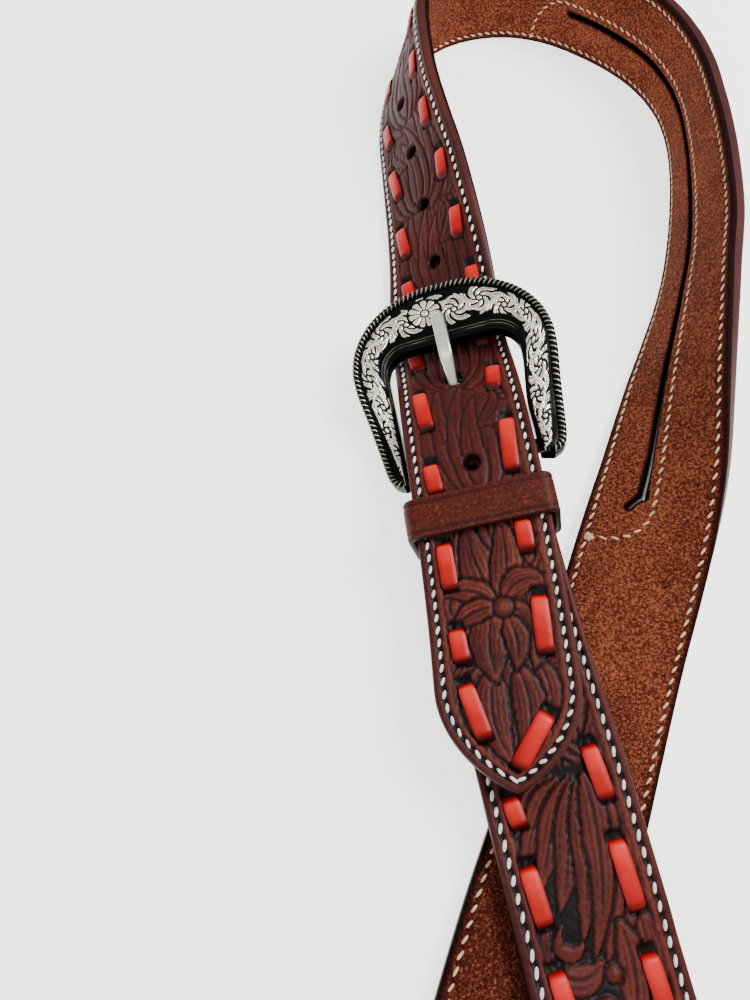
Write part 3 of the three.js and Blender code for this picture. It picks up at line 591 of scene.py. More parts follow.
def crown_carving():
    """The tip's own leaves round a seed, then the running scroll with three small seeds a sweep."""
    c = Carving(-2, 640)
    c.leaf([(26, -5.5), (18, -10), (10, -6)], 2.6, 5, 0.05)
    c.leaf([(27, 7), (20, 10.5), (13, 8)], 2.4, 5, 0.05)
    c.leaf([(26, -2), (15, -6.5), (5, 0)], 3.8, 7, 0.1)
    c.leaf([(26, 2.6), (15, 6.5), (6, 1.4)], 3.6, 7, 0.1)
    c.leaf([(62, -6), (52, -9), (47, -8)], 2.6, 5, 0.05)
    c.leaf([(62, 7), (52, 9), (48, 9)], 2.4, 5, 0.05)
    c.leaf([(42, -2.5), (34, -10.5), (27, -7.5)], 3.0, 4, 0.10)
    c.leaf([(40, 3), (32, 9.5), (25, 6.5)], 3.4, 4, 0.10)
    c.leaf([(38, -1), (31, -4), (22.5, -2)], 4.6, 4, 0.16)
    c.leaf([(37, 2), (31, 4.5), (25, 2.5)], 2.8, 3, 0.14)
    c.leaf([(41, 0.5), (50, -5), (61, -3.5)], 4.2, 3, 0.14, 0.62)
    c.leaf([(41, 1.5), (51, 5.5), (61, 3.5)], 3.8, 3, 0.14, 0.62)
    c.leaf([(41, 2), (47, 6.5), (43, 12)], 3.2, 3, 0.16)
    c.leaf([(40, 0), (46, -6), (43, -11.5)], 3.0, 3, 0.16)
    c.leaf([(39, 0), (40, -6.5), (34.5, -10)], 2.7, 3, 0.16)
    c.dome(39, 1.5, 2.3, 0.2)
    for s, side in sweeps(66, 610):
        scroll(c, s, side)
        for k in range(3):
            c.dome(s + 26 + 2.1 * k, side * (10.4 - 0.5 * k), 0.85, 0.05, False)
    c.finish(1.15, 0.8, 62)
    return c


def cheek_carving():
    """Three fans of blades, the big curled spray, then the running scroll."""
    c = Carving(-4, 372)
    c.acanthus((9, 2), (30, -4), 3, 8, 5, -1)
    c.acanthus((30, 3), (50, 2), -3, 8, 5, 1)
    c.leaf([(52, -8), (60, -11), (72, -7)], 3, 5, 0.1)
    c.leaf([(50, 4), (62, 11), (76, 6)], 3.4, 6, 0.1)
    c.acanthus((54, -1), (77, -2), 2.5, 7, 5, -1)
    ground = smooth(c.S, 75, 77) * (1 - smooth(c.S, 128, 131))
    c.z += (TOOL_FLOOR - 0.05 + 0.06 * ripple(c.S, c.U, 4, 0.45) - c.z) * ground
    for line_points, width, vein in (
            ([(84, -9.5), (92, -11.2), (99, -11), (106, -9.6)], 1.8, False),
            ([(103, -8.5), (112, -10.4), (120, -9.6), (131, -5)], 2.6, True),
            ([(78, 0), (80, 5), (83, 9), (88, 11.2)], 2.2, True),
            ([(79, 0), (82, 3.5), (87, 8.5), (95, 11.2)], 2.9, True),
            ([(79, -3), (85, 2.5), (93, 6), (99, 9.4)], 3.1, True),
            ([(79, -8), (88, -10.4), (101, -9.4), (116, -3)], 3.3, True),
            ([(79, -7), (89, -8.4), (102, -7), (114, 0)], 3.3, True),
            ([(79, -4.5), (87, -0.5), (97, 2.4), (103, 6.5)], 3.3, True),
            ([(79, -5.5), (88, -3.6), (99, -1.8), (109, 3.5)], 3.3, True),
            ([(79, -6), (89, -6.2), (101, -5), (113, 2.4)], 3.0, True),
            ([(107, -5), (115, -6.6), (123, -4), (132, 2)], 3.0, True),
            ([(114, 5), (121, 7.5), (126, 10), (132, 8)], 3.0, True),
            ([(113, 1), (118, 8), (110, 13), (103, 9)], 3.1, True),
            ([(109, 3.5), (112, 7.5), (107.5, 9.5), (105, 6.5)], 1.7, False)):
        c.leaf(line_points, width, 2, 0.16, 0.62, vein)
    for place in ((114.8, -1.2, 1.7), (119.8, 1.6, 1.8), (76.8, -9.2, 1.4), (125, 3.2, 1.6)):
        c.dome(*place)
    for s, side in sweeps(131, 350):
        scroll(c, s, side)
    c.finish(1.05, 0.68)
    return c


# ---- laces and stitching lines ----
def lace_spans(first, last, side, period, length):
    """Visible lace spans (s0, u0, s1, u1), each slanting slightly outwards."""
    return [(s, side * (LACE_OFFSET - LACE_SLANT), s + length, side * (LACE_OFFSET + LACE_SLANT))
            for s in np.arange(first, last - length, period)]


CROWN_LACES = {
    -1: [(11.0, -5.8, 22.5, -9.0), (27.5, -9.0, 35.0, -9.6), (44.5, -9.6, 55.5, -9.9),
         (68.5, -9.6, 76.5, -10.2), (86.8, -9.4, 99.7, -10.4), (111, -9.2, 121, -10.4),
         (137, -8.8, 144.5, -9.8), (154, -8.8, 165.5, -10.2), (178, -8.8, 190, -10.2)]
    + lace_spans(201, 610, -1, 22, 9.5),
    1: [(4.8, 0.3, 15.3, 7.7), (28.0, 9.2, 40.5, 9.6), (51.0, 8.9, 58.5, 8.9), (70.7, 9.0, 84.9, 10.2),
        (95.5, 9.0, 104.5, 10.0), (116, 9.2, 125, 10.2), (131, 9.9, 142, 10.7)]
    + lace_spans(151.5, 610, 1, 20.4, 9.2)}
CHEEK_LACES = {
    -1: [(9.5, -9.0, 15.5, -9.4), (31, -9.0, 41, -9.4), (52, -9.0, 62, -9.4), (73.3, -8.8, 84, -9.6),
         (92, -8.8, 105, -9.2), (113, -8.8, 124, -9.2)] + lace_spans(134, 218, -1, 20.5, 10),
    1: [(9.5, 9.8, 16.5, 9.6), (36, 9.8, 46, 9.5), (57, 9.8, 67, 9.5), (80, 10.3, 86, 9.6),
        (93.5, 10.3, 104.3, 9.6), (112.5, 10.0, 122, 9.4)] + lace_spans(132, 218, 1, 20.5, 10)}


def stamp_slits(carving, spans, open_end):
    """The slits that a lace goes down into, shallow dents painted dark as painted shade: a wide one at
    open_end (0 or 1) of each span.
    """
    for s0, u0, s1, u1 in spans:
        d = np.array([s1 - s0, u1 - u0])
        d = d / np.linalg.norm(d)
        for end, (s, u) in enumerate(((s0, u0), (s1, u1))):
            wide = end == open_end
            outward = 1 if end else -1
            window, ds, du = carving.round_spot(s, u, 3)
            x = ds * d[0] + du * d[1]
            x = x - outward * (0.75 if wide else 0.2)
            y = -ds * d[1] + du * d[0]
            hole = np.exp(-(x / (1.35 if wide else 0.7)) ** 4) * (1 - smooth(np.abs(y), 1.5, 2.2))
            carving.z[window] -= 0.7 * hole
            # Painted shade inside the slit.
            carving.tone[window] -= hole * (carving.tone[window] + 0.4)


def stamp_awl_holes(carving, spots, pitch):
    """The holes between one stitch and the next, dented and painted dark as painted shade."""
    for s, u, heading in spots:
        s, u = s + pitch / 2 * np.cos(heading), u + pitch / 2 * np.sin(heading)
        window, ds, du = carving.round_spot(s, u, 1.5)
        r = np.hypot(ds, du)
        carving.awl[window] = np.maximum(carving.awl[window], np.exp(-(r / 0.58) ** 3))


def lace_pieces(course, spans, open_end):
    """Crowned laces that dip into the strap at both ends, darker at the end that isn't open."""
    q = np.linspace(-1, 1, 9)[None]
    t = np.linspace(0, 1, 22)[:, None]
    pieces = []
    for s0, u0, s1, u1 in spans:
        d = np.array([s1 - s0, u1 - u0])
        length = np.linalg.norm(d)
        d = d / length
        reach = t * (length + 0.8) - 0.4
        end = np.minimum(t, 1 - t) * length
        half = LACE_HALF_WIDTH * (0.74 + 0.26 * np.sqrt(smooth(end, -0.3, 2.4)))
        S = s0 + d[0] * reach - d[1] * q * half
        U = u0 + d[1] * reach + d[0] * q * half
        crowned = 0.16 + 0.5 * (1 - np.abs(0.96 * q) ** 3) ** 0.7
        V = HALF_THICKNESS + crowned * smooth(end + 0.25, 0, 1.5) - 0.75 * (1 - smooth(end, 0, 1.1))
        V = V + 0.12 * np.sin(np.pi * t)
        lit = t if open_end else 1 - t
        shade = smooth(end, -0.2, 2.6 - 1.6 * lit) * (0.5 + 0.5 * lit) * (1 - 0.3 * np.abs(q) ** 4)
        pieces.append(gridded(course.place(S, U, V), shade, wrap_columns=False))
    return joined(pieces)


def edge_path(course, inset, low, high, side):
    """The line running inside a strap's outline, (s, u) at even steps."""
    s = np.concatenate([np.arange(0.02, 24, 0.1), np.arange(24, course.s[-1], 0.5)])
    half = course.half_at(s)
    ds, du = np.gradient(s), np.gradient(half)
    n = np.hypot(ds, du)
    path = np.stack([s + inset * du / n, half - inset * ds / n], 1)
    path = path[(path[:, 0] >= low) & (path[:, 0] <= high) & (path[:, 1] > 0.2)]
    return path * [1, side]


def spaced(path, pitch, start=0.0):
    """Points and headings at even pitch along a path of (s, u)."""
    run = run_along(path)
    at = np.arange(start, run[-1], pitch)
    ahead = look_up(np.minimum(at + 0.5, run[-1]), run, path) - look_up(np.maximum(at - 0.5, 0), run, path)
    return np.column_stack([look_up(at, run, path), np.arctan2(ahead[:, 1], ahead[:, 0])])


def thread_pieces(course, spots, surface, slant, sizes, outward=1):
    """Oval stitches at (s, u, heading) spots."""
    a = np.linspace(0, np.pi, 7)[:, None]
    b = full_turn(8)[None]
    rng = np.random.default_rng(5)
    shape = np.stack([np.cos(a) + 0 * b, np.sin(a) * np.cos(b), np.sin(a) * np.sin(b)], -1).reshape(-1, 3)
    shape[:, 0] = np.sign(shape[:, 0]) * np.abs(shape[:, 0]) ** 0.85
    quads = grid_faces(7, 8, wrap_columns=True)
    heading = spots[:, 2] + slant + rng.normal(0, 0.05, len(spots))
    across, along, normal = course.axes(spots[:, 0])
    centre = course.place(spots[:, 0], spots[:, 1], surface)
    ahead = along * np.cos(heading)[:, None] + across * np.sin(heading)[:, None]
    beside = np.cross(normal, ahead)
    size = np.array(sizes) * (1 + rng.normal(0, 0.04, (len(spots), 3)))
    points = (centre[:, None] + shape[None, :, :1] * (ahead * size[:, :1])[:, None]
              + shape[None, :, 1:2] * (beside * size[:, 1:2])[:, None]
              + shape[None, :, 2:] * (normal * outward * size[:, 2:])[:, None])
    faces = (quads[None] + (np.arange(len(spots)) * len(shape))[:, None, None]).reshape(-1, 4)
    return points.reshape(-1, 3), faces, {}


# ---- materials ----
def srgb(*levels):
    """A screen colour, 0 to 255, as Blender's linear one."""
    return (*[((c / 255 + 0.055) / 1.055) ** 2.4 if c > 10 else c / 255 / 12.92 for c in levels], 1.0)


LOOKS = {}      # the material of each slot


class Shader:
    """A material on one Principled shader with procedural inputs."""

    def __init__(self, name, roughness, specular):
        LOOKS[name] = bpy.data.materials.new(name)
        LOOKS[name].use_nodes = True
        self.tree = LOOKS[name].node_tree
        self.main = self.tree.nodes["Principled BSDF"]
        self.main.inputs["Roughness"].default_value = roughness
        self.main.inputs["Specular IOR Level"].default_value = specular
        self.place = self.tree.nodes.new("ShaderNodeTexCoord").outputs["Object"]

    def node(self, kind, **inputs):
        """A new node, its inputs linked to other nodes' outputs or set to numbers."""
        node = self.tree.nodes.new("ShaderNode" + kind)
        for name, value in inputs.items():
            self.feed(node.inputs[name], value)
        return node

    def feed(self, socket, value):
        if isinstance(value, (int, float)):
            socket.default_value = value
        else:
            self.tree.links.new(value, socket)

    def noise(self, scale, detail, roughness=0.55):
        return self.node("TexNoise", Scale=scale, Detail=detail, Roughness=roughness,
                         Vector=self.place).outputs["Fac"]

    def attribute(self, name):
        node = self.node("Attribute")
        node.attribute_name = name
        return node.outputs["Fac"]

    def math(self, kind, a, b):
        node = self.node("Math")
        node.operation = kind
        self.feed(node.inputs[0], a)
        self.feed(node.inputs[1], b)
        return node.outputs[0]

    def scaled(self, texture, middle, share):
        return self.math("MULTIPLY", self.math("SUBTRACT", texture, middle), share)

    def toned(self, *textures):
        """The mesh's own tone with a share of each texture round its middle."""
        tone = self.attribute("tone")
        for texture, share in textures:
            tone = self.math("ADD", tone, self.scaled(texture, 0.5, share))
        return tone

    def ramp(self, value, stops):
        node = self.node("ValToRGB", Fac=value)
        elements = node.color_ramp.elements
        while len(elements) < len(stops):
            elements.new(0.5)
        for element, (at, colour) in zip(elements, stops):
            element.position = at
            element.color = colour
        return node.outputs["Color"]

    def finish(self, colour, height, strength, distance):
        self.feed(self.main.inputs["Base Color"], colour)
        bump = self.node("Bump", Strength=strength, Distance=distance, Height=height)
        self.feed(self.main.inputs["Normal"], bump.outputs["Normal"])


def tooled_leather():
    m = Shader("tooled_leather", 0.5, 0.16)
    tone = m.toned((m.noise(45, 3), 0.55), (m.noise(1100, 6, 0.75), 0.8))
    stops = [(0.0, srgb(6, 2, 2)), (0.2, srgb(34, 8, 7)), (0.5, srgb(62, 19, 16)), (0.75, srgb(88, 34, 25)),
             (1.0, srgb(122, 62, 44))]
    m.finish(m.ramp(tone, stops), m.noise(2400, 2), 0.25, 0.0002)


def suede():
    m = Shader("flesh_leather", 0.9, 0.06)
    speckle = m.noise(1500, 5, 0.85)
    tone = m.math("ADD", m.scaled(speckle, 0.16, 1.35), m.math("MULTIPLY", m.noise(60, 3), 0.14))
    stops = [(0.10, srgb(10, 4, 4)), (0.38, srgb(50, 17, 12)), (0.52, srgb(84, 34, 22)),
             (0.64, srgb(148, 84, 56))]
    # rim darkens the flesh side: its edge, painted shade round holes, slit and stitch row, and a painted
    # shadow towards the bit end.
    m.finish(m.ramp(m.math("SUBTRACT", tone, m.attribute("rim")), stops), speckle, 0.6, 0.0004)


def keeper_leather():
    m = Shader("keeper_leather", 0.5, 0.16)
    speckle = m.noise(1400, 4, 0.7)
    stops = [(0.0, srgb(8, 3, 3)), (0.35, srgb(50, 14, 9)), (0.6, srgb(84, 28, 16)),
             (1.0, srgb(176, 100, 60))]
    m.finish(m.ramp(m.toned((speckle, 1.1)), stops), speckle, 0.4, 0.0003)


def red_lace():
    m = Shader("red_lace", 0.4, 0.2)
    stops = [(0.0, (0.012, 0.0003, 0.0003, 1)), (0.3, (0.18, 0.001, 0.001, 1)),
             (0.7, (0.46, 0.005, 0.004, 1)), (1.0, (0.74, 0.038, 0.026, 1))]
    m.finish(m.ramp(m.toned((m.noise(300, 3), 0.25)), stops), m.noise(900, 3), 0.2, 0.0002)


def thread(name, low, high):
    m = Shader(name, 0.75, 0.3)
    m.finish(m.ramp(m.noise(1600, 3), [(0.3, low), (0.7, high)]), m.noise(3500, 2), 0.4, 0.0002)


def silver(name, dark, light, roughness):
    """Blackened in its lows and bright on its highs."""
    m = Shader(name, roughness, 0.12)
    tone = m.toned((m.noise(260, 4), 0.22))
    metal = m.ramp(tone, [(0.25, (0.1, 0.1, 0.1, 1)), (0.55, (0.75, 0.75, 0.75, 1))])
    m.feed(m.main.inputs["Metallic"], metal)
    stops = [(0.0, dark), (0.32, dark), (0.55, light), (0.9, srgb(255, 252, 234))]
    m.finish(m.ramp(tone, stops), m.noise(1800, 3), 0.15, 0.0002)


tooled_leather()
suede()
keeper_leather()
red_lace()
thread("face_thread", srgb(206, 198, 188), srgb(246, 243, 236))
thread("flesh_thread", srgb(184, 142, 110), srgb(228, 196, 164))
silver("buckle_silver", srgb(2, 2, 2), srgb(182, 176, 148), 0.26)
silver("tongue_silver", srgb(34, 34, 34), srgb(186, 184, 172), 0.27)
silver("screw_metal", srgb(50, 48, 46), srgb(190, 188, 182), 0.35)

# ---- the crown strap ----
crown_map, cheek_map = crown_carving(), cheek_carving()
for side in (-1, 1):
    stamp_slits(crown_map, CROWN_LACES[side], 1)
    stamp_slits(cheek_map, CHEEK_LACES[side], 0)

HEEL_AT = float(crown.s[np.argmin(np.abs((crown.point - BUCKLE_ORIGIN) @ leaning_axes(BUCKLE_HEADING)[1])
                                  + 1000 * (crown.s > 200))])
ROUND_HOLES = [HEEL_AT + LOWEST_HOLE] + [HEEL_AT + NEXT_HOLE + HOLE_PITCH * k for k in range(5)]


def stadium(S, U, s0, s1, u, radius):
    """How far a point lies outside a round-ended slot."""
    ds = np.maximum(np.maximum(s0 - S, S - s1), 0)
    return np.hypot(ds, U - u) - radius


def crown_cut(slit_half, end_half, hole_radius):
    """How far a point of the crown lies outside its ear slit and its holes."""
    def cut(S, U):
        half = slit_half + (end_half - slit_half) * smooth(S, EAR_SLIT[1] - 16, EAR_SLIT[1])
        slit = stadium(S, U, EAR_SLIT[0] + 1.2, EAR_SLIT[1] - 1.2, EAR_SLIT_OFFSET, half)
        bend = np.clip((S - EAR_SLIT[1] + 2) / 3.6, 0, 1)
        hook = np.hypot(S - np.clip(S, EAR_SLIT[1] - 2, EAR_SLIT[1] + 1.6),
                        U - EAR_SLIT_OFFSET + 2.6 * bend) - end_half
        found = np.minimum(slit, hook)
        found = np.minimum(found, stadium(S, U, HEEL_AT + TONGUE_HOLE[0], HEEL_AT + TONGUE_HOLE[1],
                                          TONGUE_HOLE_ACROSS, TONGUE_HOLE_HALF))
        for at in ROUND_HOLES:
            found = np.minimum(found, np.hypot(S - at, U) - hole_radius)
        return found
    return cut


face_cut = crown_cut(slit_half=0.3, end_half=0.35, hole_radius=2.0)
flesh_cut = crown_cut(slit_half=0.6, end_half=1.0, hole_radius=0.65)


def slit_row():
    """The stitch row beside the ear slit, turning out to the border's row past both of its ends."""
    low, high = EAR_SLIT
    border = STITCH_INSET - STRAP_WIDTH / 2
    beside = EAR_SLIT_OFFSET + EAR_SLIT_WIDTH / 2 + SLIT_STITCH_INSET - 0.6
    turn = np.linspace(0, np.pi / 2, 40)
    reach = beside - border
    far = np.stack([high + 1 + 11 * np.sin(turn), border + reach * np.cos(turn) ** 0.8], 1)
    near = np.stack([low - 1 - 11 * np.sin(turn), border + reach * np.cos(turn) ** 0.8], 1)[::-1]
    middle = np.arange(low, high, 0.5)
    return np.vstack([near, np.stack([middle, np.full_like(middle, beside)], 1), far])


def tooled_height(course, carving, surface):
    def height(S, U, gap):
        distance = edge_distance(course, S, U)
        relief = carving.sample(carving.z, S, U)
        tone = carving.sample(carving.tone, S, U)
        inside = (S > carving.s[2]) & (S < carving.s[-3])
        relief, tone = np.where(inside, relief, 0), np.where(inside, tone, 0.45)
        margin = smooth(distance, 3.6, 4.2)
        border = 0.55 + 0.12 * smooth(distance, 2.4, 3.2) - 0.1 * smooth(distance, 4.4, 5.2)
        relief = relief * margin
        tone = tone * margin + border * (1 - margin) + 0.07 * bell(distance - 3.9, 0.8)
        groove = bell(distance - STITCH_INSET, 0.62)
        relief = relief - 0.34 * groove
        awl = carving.sample(carving.awl, S, U)
        relief = relief - 0.3 * awl
        # Painted shade in the stitch groove and the awl holes; the very edge is a little darker too.
        tone = tone * (1 - 0.5 * groove) - 0.7 * awl - 0.06 * (1 - smooth(distance, 0.2, 1.0))
        # Painted shade: the face darkens towards the edges of its holes, ear slit and tongue hole.
        painted_shade_near_cuts = 1 - smooth(gap, 0.0, 1.2)
        relief = relief * smooth(gap, 0.2, 1.4) - edge_drop(gap, 0.6)
        tone = tone * (1 - 0.6 * painted_shade_near_cuts)
        wave = 0.05 * ripple(S, U, 8, 9)
        return surface + relief + wave - edge_drop(distance, 0.8), {"tone": np.clip(tone, -0.4, 1)}
    return height


def plain_height(course, surface):
    def height(S, U, gap):
        distance = edge_distance(course, S, U)
        # rim darkens the flesh side along its outer edge, and as painted shade round its holes and slit and
        # along the stitch row.
        rim = 0.34 * (1 - smooth(distance, 0.3, 1.5)) + 0.6 * (1 - smooth(gap, 0.05, 0.5))
        row = bell(distance - STITCH_INSET, 0.7)
        drop = edge_drop(np.minimum(distance, gap), 0.6) + 0.18 * row
        # Painted shadow: the flesh side darkens towards the bit end, where it lies in shade.
        painted_shadow = 0.07 * smooth(S, 560, 640)
        return surface + drop + 0.05 * ripple(S, U, 9, 1.2), {"rim": rim + 0.06 * row + painted_shadow}
    return height


CROWN_PITCH, CHEEK_PITCH = 2.9, 3.3
FACE_GRID = 0.42        # how fine the face leathers' meshes are
SEAM_LEVEL = -0.65      # where the walls of face and lining end, inside the strap


def border_spots(course, low, high, pitch):
    """Stitch places along both long edges of a strap, and round its tip."""
    sides = [spaced(edge_path(course, STITCH_INSET, low, high, side), pitch, 0.4) for side in (-1, 1)]
    return np.vstack(sides)


SLIT_LINE = slit_row()
slit_spots = spaced(SLIT_LINE, CROWN_PITCH)
crown_spots = border_spots(crown, 0.5, crown.s[-1] - 3, CROWN_PITCH)
cheek_spots = border_spots(cheek, 9, cheek.s[-1] - 3, CHEEK_PITCH)
cheek_top = np.column_stack([np.full(8, 8.6), np.linspace(-11.6, 11.6, 8), np.full(8, np.pi / 2)])
cheek_spots = np.vstack([cheek_spots, cheek_top])
stamp_awl_holes(crown_map, np.vstack([crown_spots, slit_spots]), CROWN_PITCH)
stamp_awl_holes(cheek_map, cheek_spots, CHEEK_PITCH)
make_object("tooled_crown", "straps", "tooled_leather", leather_skin(
    crown, np.append([0, 0.05, 0.15, 0.3], strap_rows(0.6, crown.s[-1], FACE_GRID, 1.3, (0.6, 600))),
    strap_columns(FACE_GRID, (EAR_SLIT_OFFSET - 0.3, EAR_SLIT_OFFSET + 0.3)),
    tooled_height(crown, crown_map, HALF_THICKNESS), SEAM_LEVEL, face_cut), ["crown_face"])
make_object("crown_flesh_side", "straps", "flesh_leather", leather_skin(
    crown, np.append([0, 0.15, 0.3], strap_rows(0.6, crown.s[-1], 0.45, 1.0, (505, 530))),
    strap_columns(0.6, (EAR_SLIT_OFFSET - 0.6, EAR_SLIT_OFFSET + 0.6)), plain_height(crown, -HALF_THICKNESS),
    SEAM_LEVEL, flesh_cut, True), ["crown_lining"])

# ---- the cheek strap ----
SLOT_HALF = 2.6


def cheek_cut(S, U):
    return stadium(S, U, WRAP_START + 1, WRAP_END - 1, 0, SLOT_HALF)


face_rows = strap_rows(cheek_face.s[0], cheek_face.s[-1], FACE_GRID, 1.2, (6, 225))
make_object("tooled_cheek", "straps", "tooled_leather", leather_skin(
    cheek_face, face_rows, strap_columns(FACE_GRID, (-SLOT_HALF, SLOT_HALF)),
    tooled_height(cheek_face, cheek_map, FACE_THICKNESS / 2), -FACE_THICKNESS / 2 - 0.15,
    cheek_cut, backed=face_rows < 14), ["cheek_face"])
make_object("cheek_flesh_side", "straps", "flesh_leather", leather_skin(
    cheek, np.append(np.arange(7, cheek.s[-1], 0.9), cheek.s[-1]), strap_columns(0.9),
    plain_height(cheek, -HALF_THICKNESS), SEAM_LEVEL, flip=True), ["cheek_lining"])

# ---- laces and threads ----
for strap, course, spans, open_end in (("crown", crown, CROWN_LACES, 1), ("cheek", cheek, CHEEK_LACES, 0)):
    for side, word in ((-1, "left"), (1, "right")):
        make_object(f"{strap}_laces_{word}", "straps", "red_lace",
                    lace_pieces(course, spans[side], open_end), [f"{strap}_lace_{word}"])

STITCH_SHARE = 0.34      # half a stitch's length, as a share of the pitch
FACE_SLANT, FLESH_SLANT = 0.3, -0.36


def border_threads(name, course, spots, pitch, replaced):
    """The stitches of a row, on both sides of its strap."""
    long = STITCH_SHARE * pitch
    make_object(name, "straps", "face_thread", thread_pieces(
        course, spots, HALF_THICKNESS - 0.02, FACE_SLANT, (long, 0.135 * pitch, 0.36)), [replaced])
    make_object(f"{name}_flesh_side", "straps", "flesh_thread", thread_pieces(
        course, spots, -HALF_THICKNESS + 0.02, FLESH_SLANT, (long * 1.05, 0.115 * pitch, 0.26), -1))


border_threads("crown_threads", crown, crown_spots, CROWN_PITCH, "crown_stitching")
border_threads("cheek_threads", cheek, cheek_spots, CHEEK_PITCH, "cheek_stitching")
border_threads("ear_slit_threads", crown, slit_spots, CROWN_PITCH, "ear_slit_stitching")
turned_end = np.array([[SLIT_LINE[-1, 0] + 0.4, SLIT_LINE[-1, 1] + 0.8, a] for a in (0.2, 1.3, 2.4)])
make_object("ear_slit_thread_knot", "straps", "flesh_thread", thread_pieces(
    crown, turned_end, -HALF_THICKNESS - 0.05, 0, (1.15, 0.5, 0.42), -1))

# ---- keeper ----
KEEPER_MIDDLE, KEEPER_BAND, KEEPER_THICKNESS, KEEPER_ACROSS = -17.5, 10.2, 1.6, -1.5
keeper_half = STRAP_WIDTH / 2 + KEEPER_CLEARANCE + KEEPER_THICKNESS
keeper_low = CHEEK_HEIGHT + FLAP_DEPTH - FACE_THICKNESS / 2 - KEEPER_CLEARANCE - KEEPER_THICKNESS
keeper_high = BILLET_HEIGHT + HALF_THICKNESS + TRIM_HEIGHT + LAYER_GAP + KEEPER_THICKNESS


def rounded_loop(half, low, high, radius):
    """Points and outward normals round a rounded rectangle, in (across, out)."""
    points, normals = [], []
    for cx, cz, start in ((half - radius, high - radius, 0), (radius - half, high - radius, 90),
                          (radius - half, low + radius, 180), (half - radius, low + radius, 270)):
        a = np.radians(np.linspace(start, start + 90, 10))
        normals.append(np.stack([np.cos(a), np.sin(a)], 1))
        points.append([cx, cz] + radius * normals[-1])
    points, normals = np.vstack(points), np.vstack(normals)
    points, normals = np.vstack([points, points[:1]]), np.vstack([normals, normals[:1]])
    run = np.concatenate([[0], np.cumsum(np.linalg.norm(np.diff(points, axis=0), axis=1) + 1e-6)])
    at = np.arange(0, run[-1], 0.5)
    return look_up(at, run, points), unit(look_up(at, run, normals))


def keeper_band():
    """The keeper's loop round both straps, with a creased line near each edge."""
    loop, out = rounded_loop(keeper_half, keeper_low, keeper_high, 3.0)
    h, t = KEEPER_BAND / 2, KEEPER_THICKNESS
    section = [(y, -edge_drop(h - abs(y), 0.7)) for y in
               np.concatenate([[-h, -h + 0.12, -h + 0.35], np.linspace(-h + 0.75, h - 0.75, 22),
                               [h - 0.35, h - 0.12, h]])]
    section += [(h, -t + 0.3), (h - 0.4, -t), (-h + 0.4, -t), (-h, -t + 0.3)]
    section = np.array(section)
    depth = section[:, 1].copy()
    lines = np.abs(np.abs(section[:, 0]) - (h - 1.5))
    on_top = depth > -1
    depth -= 0.22 * bell(lines, 0.28) * on_top
    bulge = 0.12 * ripple(loop[:, :1], section[None, :, 0], 21, 5)
    place = loop[:, None] + out[:, None] * (depth[None] + bulge * on_top)[..., None]
    points = np.stack([place[..., 0] + KEEPER_ACROSS, KEEPER_MIDDLE + section[None, :, 0] + 0 * place[..., 0],
                       place[..., 1]], -1)
    # Darker along the creased lines; the lower edge is painted darker as painted shade.
    tone = 0.5 - 0.22 * bell(lines, 0.35) * on_top - 0.3 * (section[:, 0] < -h + 0.2)
    tone = np.repeat(tone[None], len(loop), 0)
    faces = grid_faces(len(loop), len(section), True, True)
    return on_buckle(points.reshape(-1, 3), KEEPER_HEADING), faces, {"tone": tone}


make_object("keeper_loop", "keeper", "keeper_leather", keeper_band(), ["keeper"])

# ---- buckle ----
FRAME_THICKNESS = 4.6
OPENING = (17.8, 33, 7)     # half width, end, corner radius
LEG_SWELL = 1.9             # how far the right leg's foot widens inwards
OUTLINE_POINTS = 400
PLATE_ROWS = 760
OUTER = [(19.4, -3.6), (21.8, -2.8), (23, -0.6), (23.6, 3), (24.6, 10), (25.6, 17), (26.8, 24),
         (27, 29.5), (25.8, 35.5), (23.5, 40.3), (20.3, 44.3), (16.3, 47.5), (11, 50), (4.5, 51.4)]


def even(path, count):
    """A path's points again, evenly spaced."""
    run = run_along(path)
    return look_up(np.linspace(0, run[-1], count), run, path)


def smoothed(path, count, passes):
    """A path's points evenly spaced, with its corners rounded off."""
    path = even(path, count)
    for _ in range(passes):
        path[1:-1] = 0.25 * path[:-2] + 0.5 * path[1:-1] + 0.25 * path[2:]
    return path


def frame_rise(y):
    return 6.2 * smooth((y - 6) / 27)


def buckle_outlines(count):
    """The frame's inner and outer line, with the same number of points from leg to leg."""
    half = np.array(OUTER, float)
    outer = smoothed(np.vstack([half, half[::-1] * [-1, 1]]), OUTLINE_POINTS, 20)
    w, end, r = OPENING
    a = np.radians(np.linspace(0, 90, 12))[:, None]
    corner = np.hstack([w - r + r * np.cos(a), end - r + r * np.sin(a)])
    inner = even(np.vstack([[(w, -2.6)], corner, corner[::-1] * [-1, 1], [(-w, -2.6)]]), OUTLINE_POINTS)
    inner[:, 0] -= LEG_SWELL * (inner[:, 0] > 0) * (1 - smooth(inner[:, 1], 10, 26))
    share, run = np.linspace(0, 1, count), np.linspace(0, 1, OUTLINE_POINTS)
    return look_up(share, run, inner), look_up(share, run, outer)


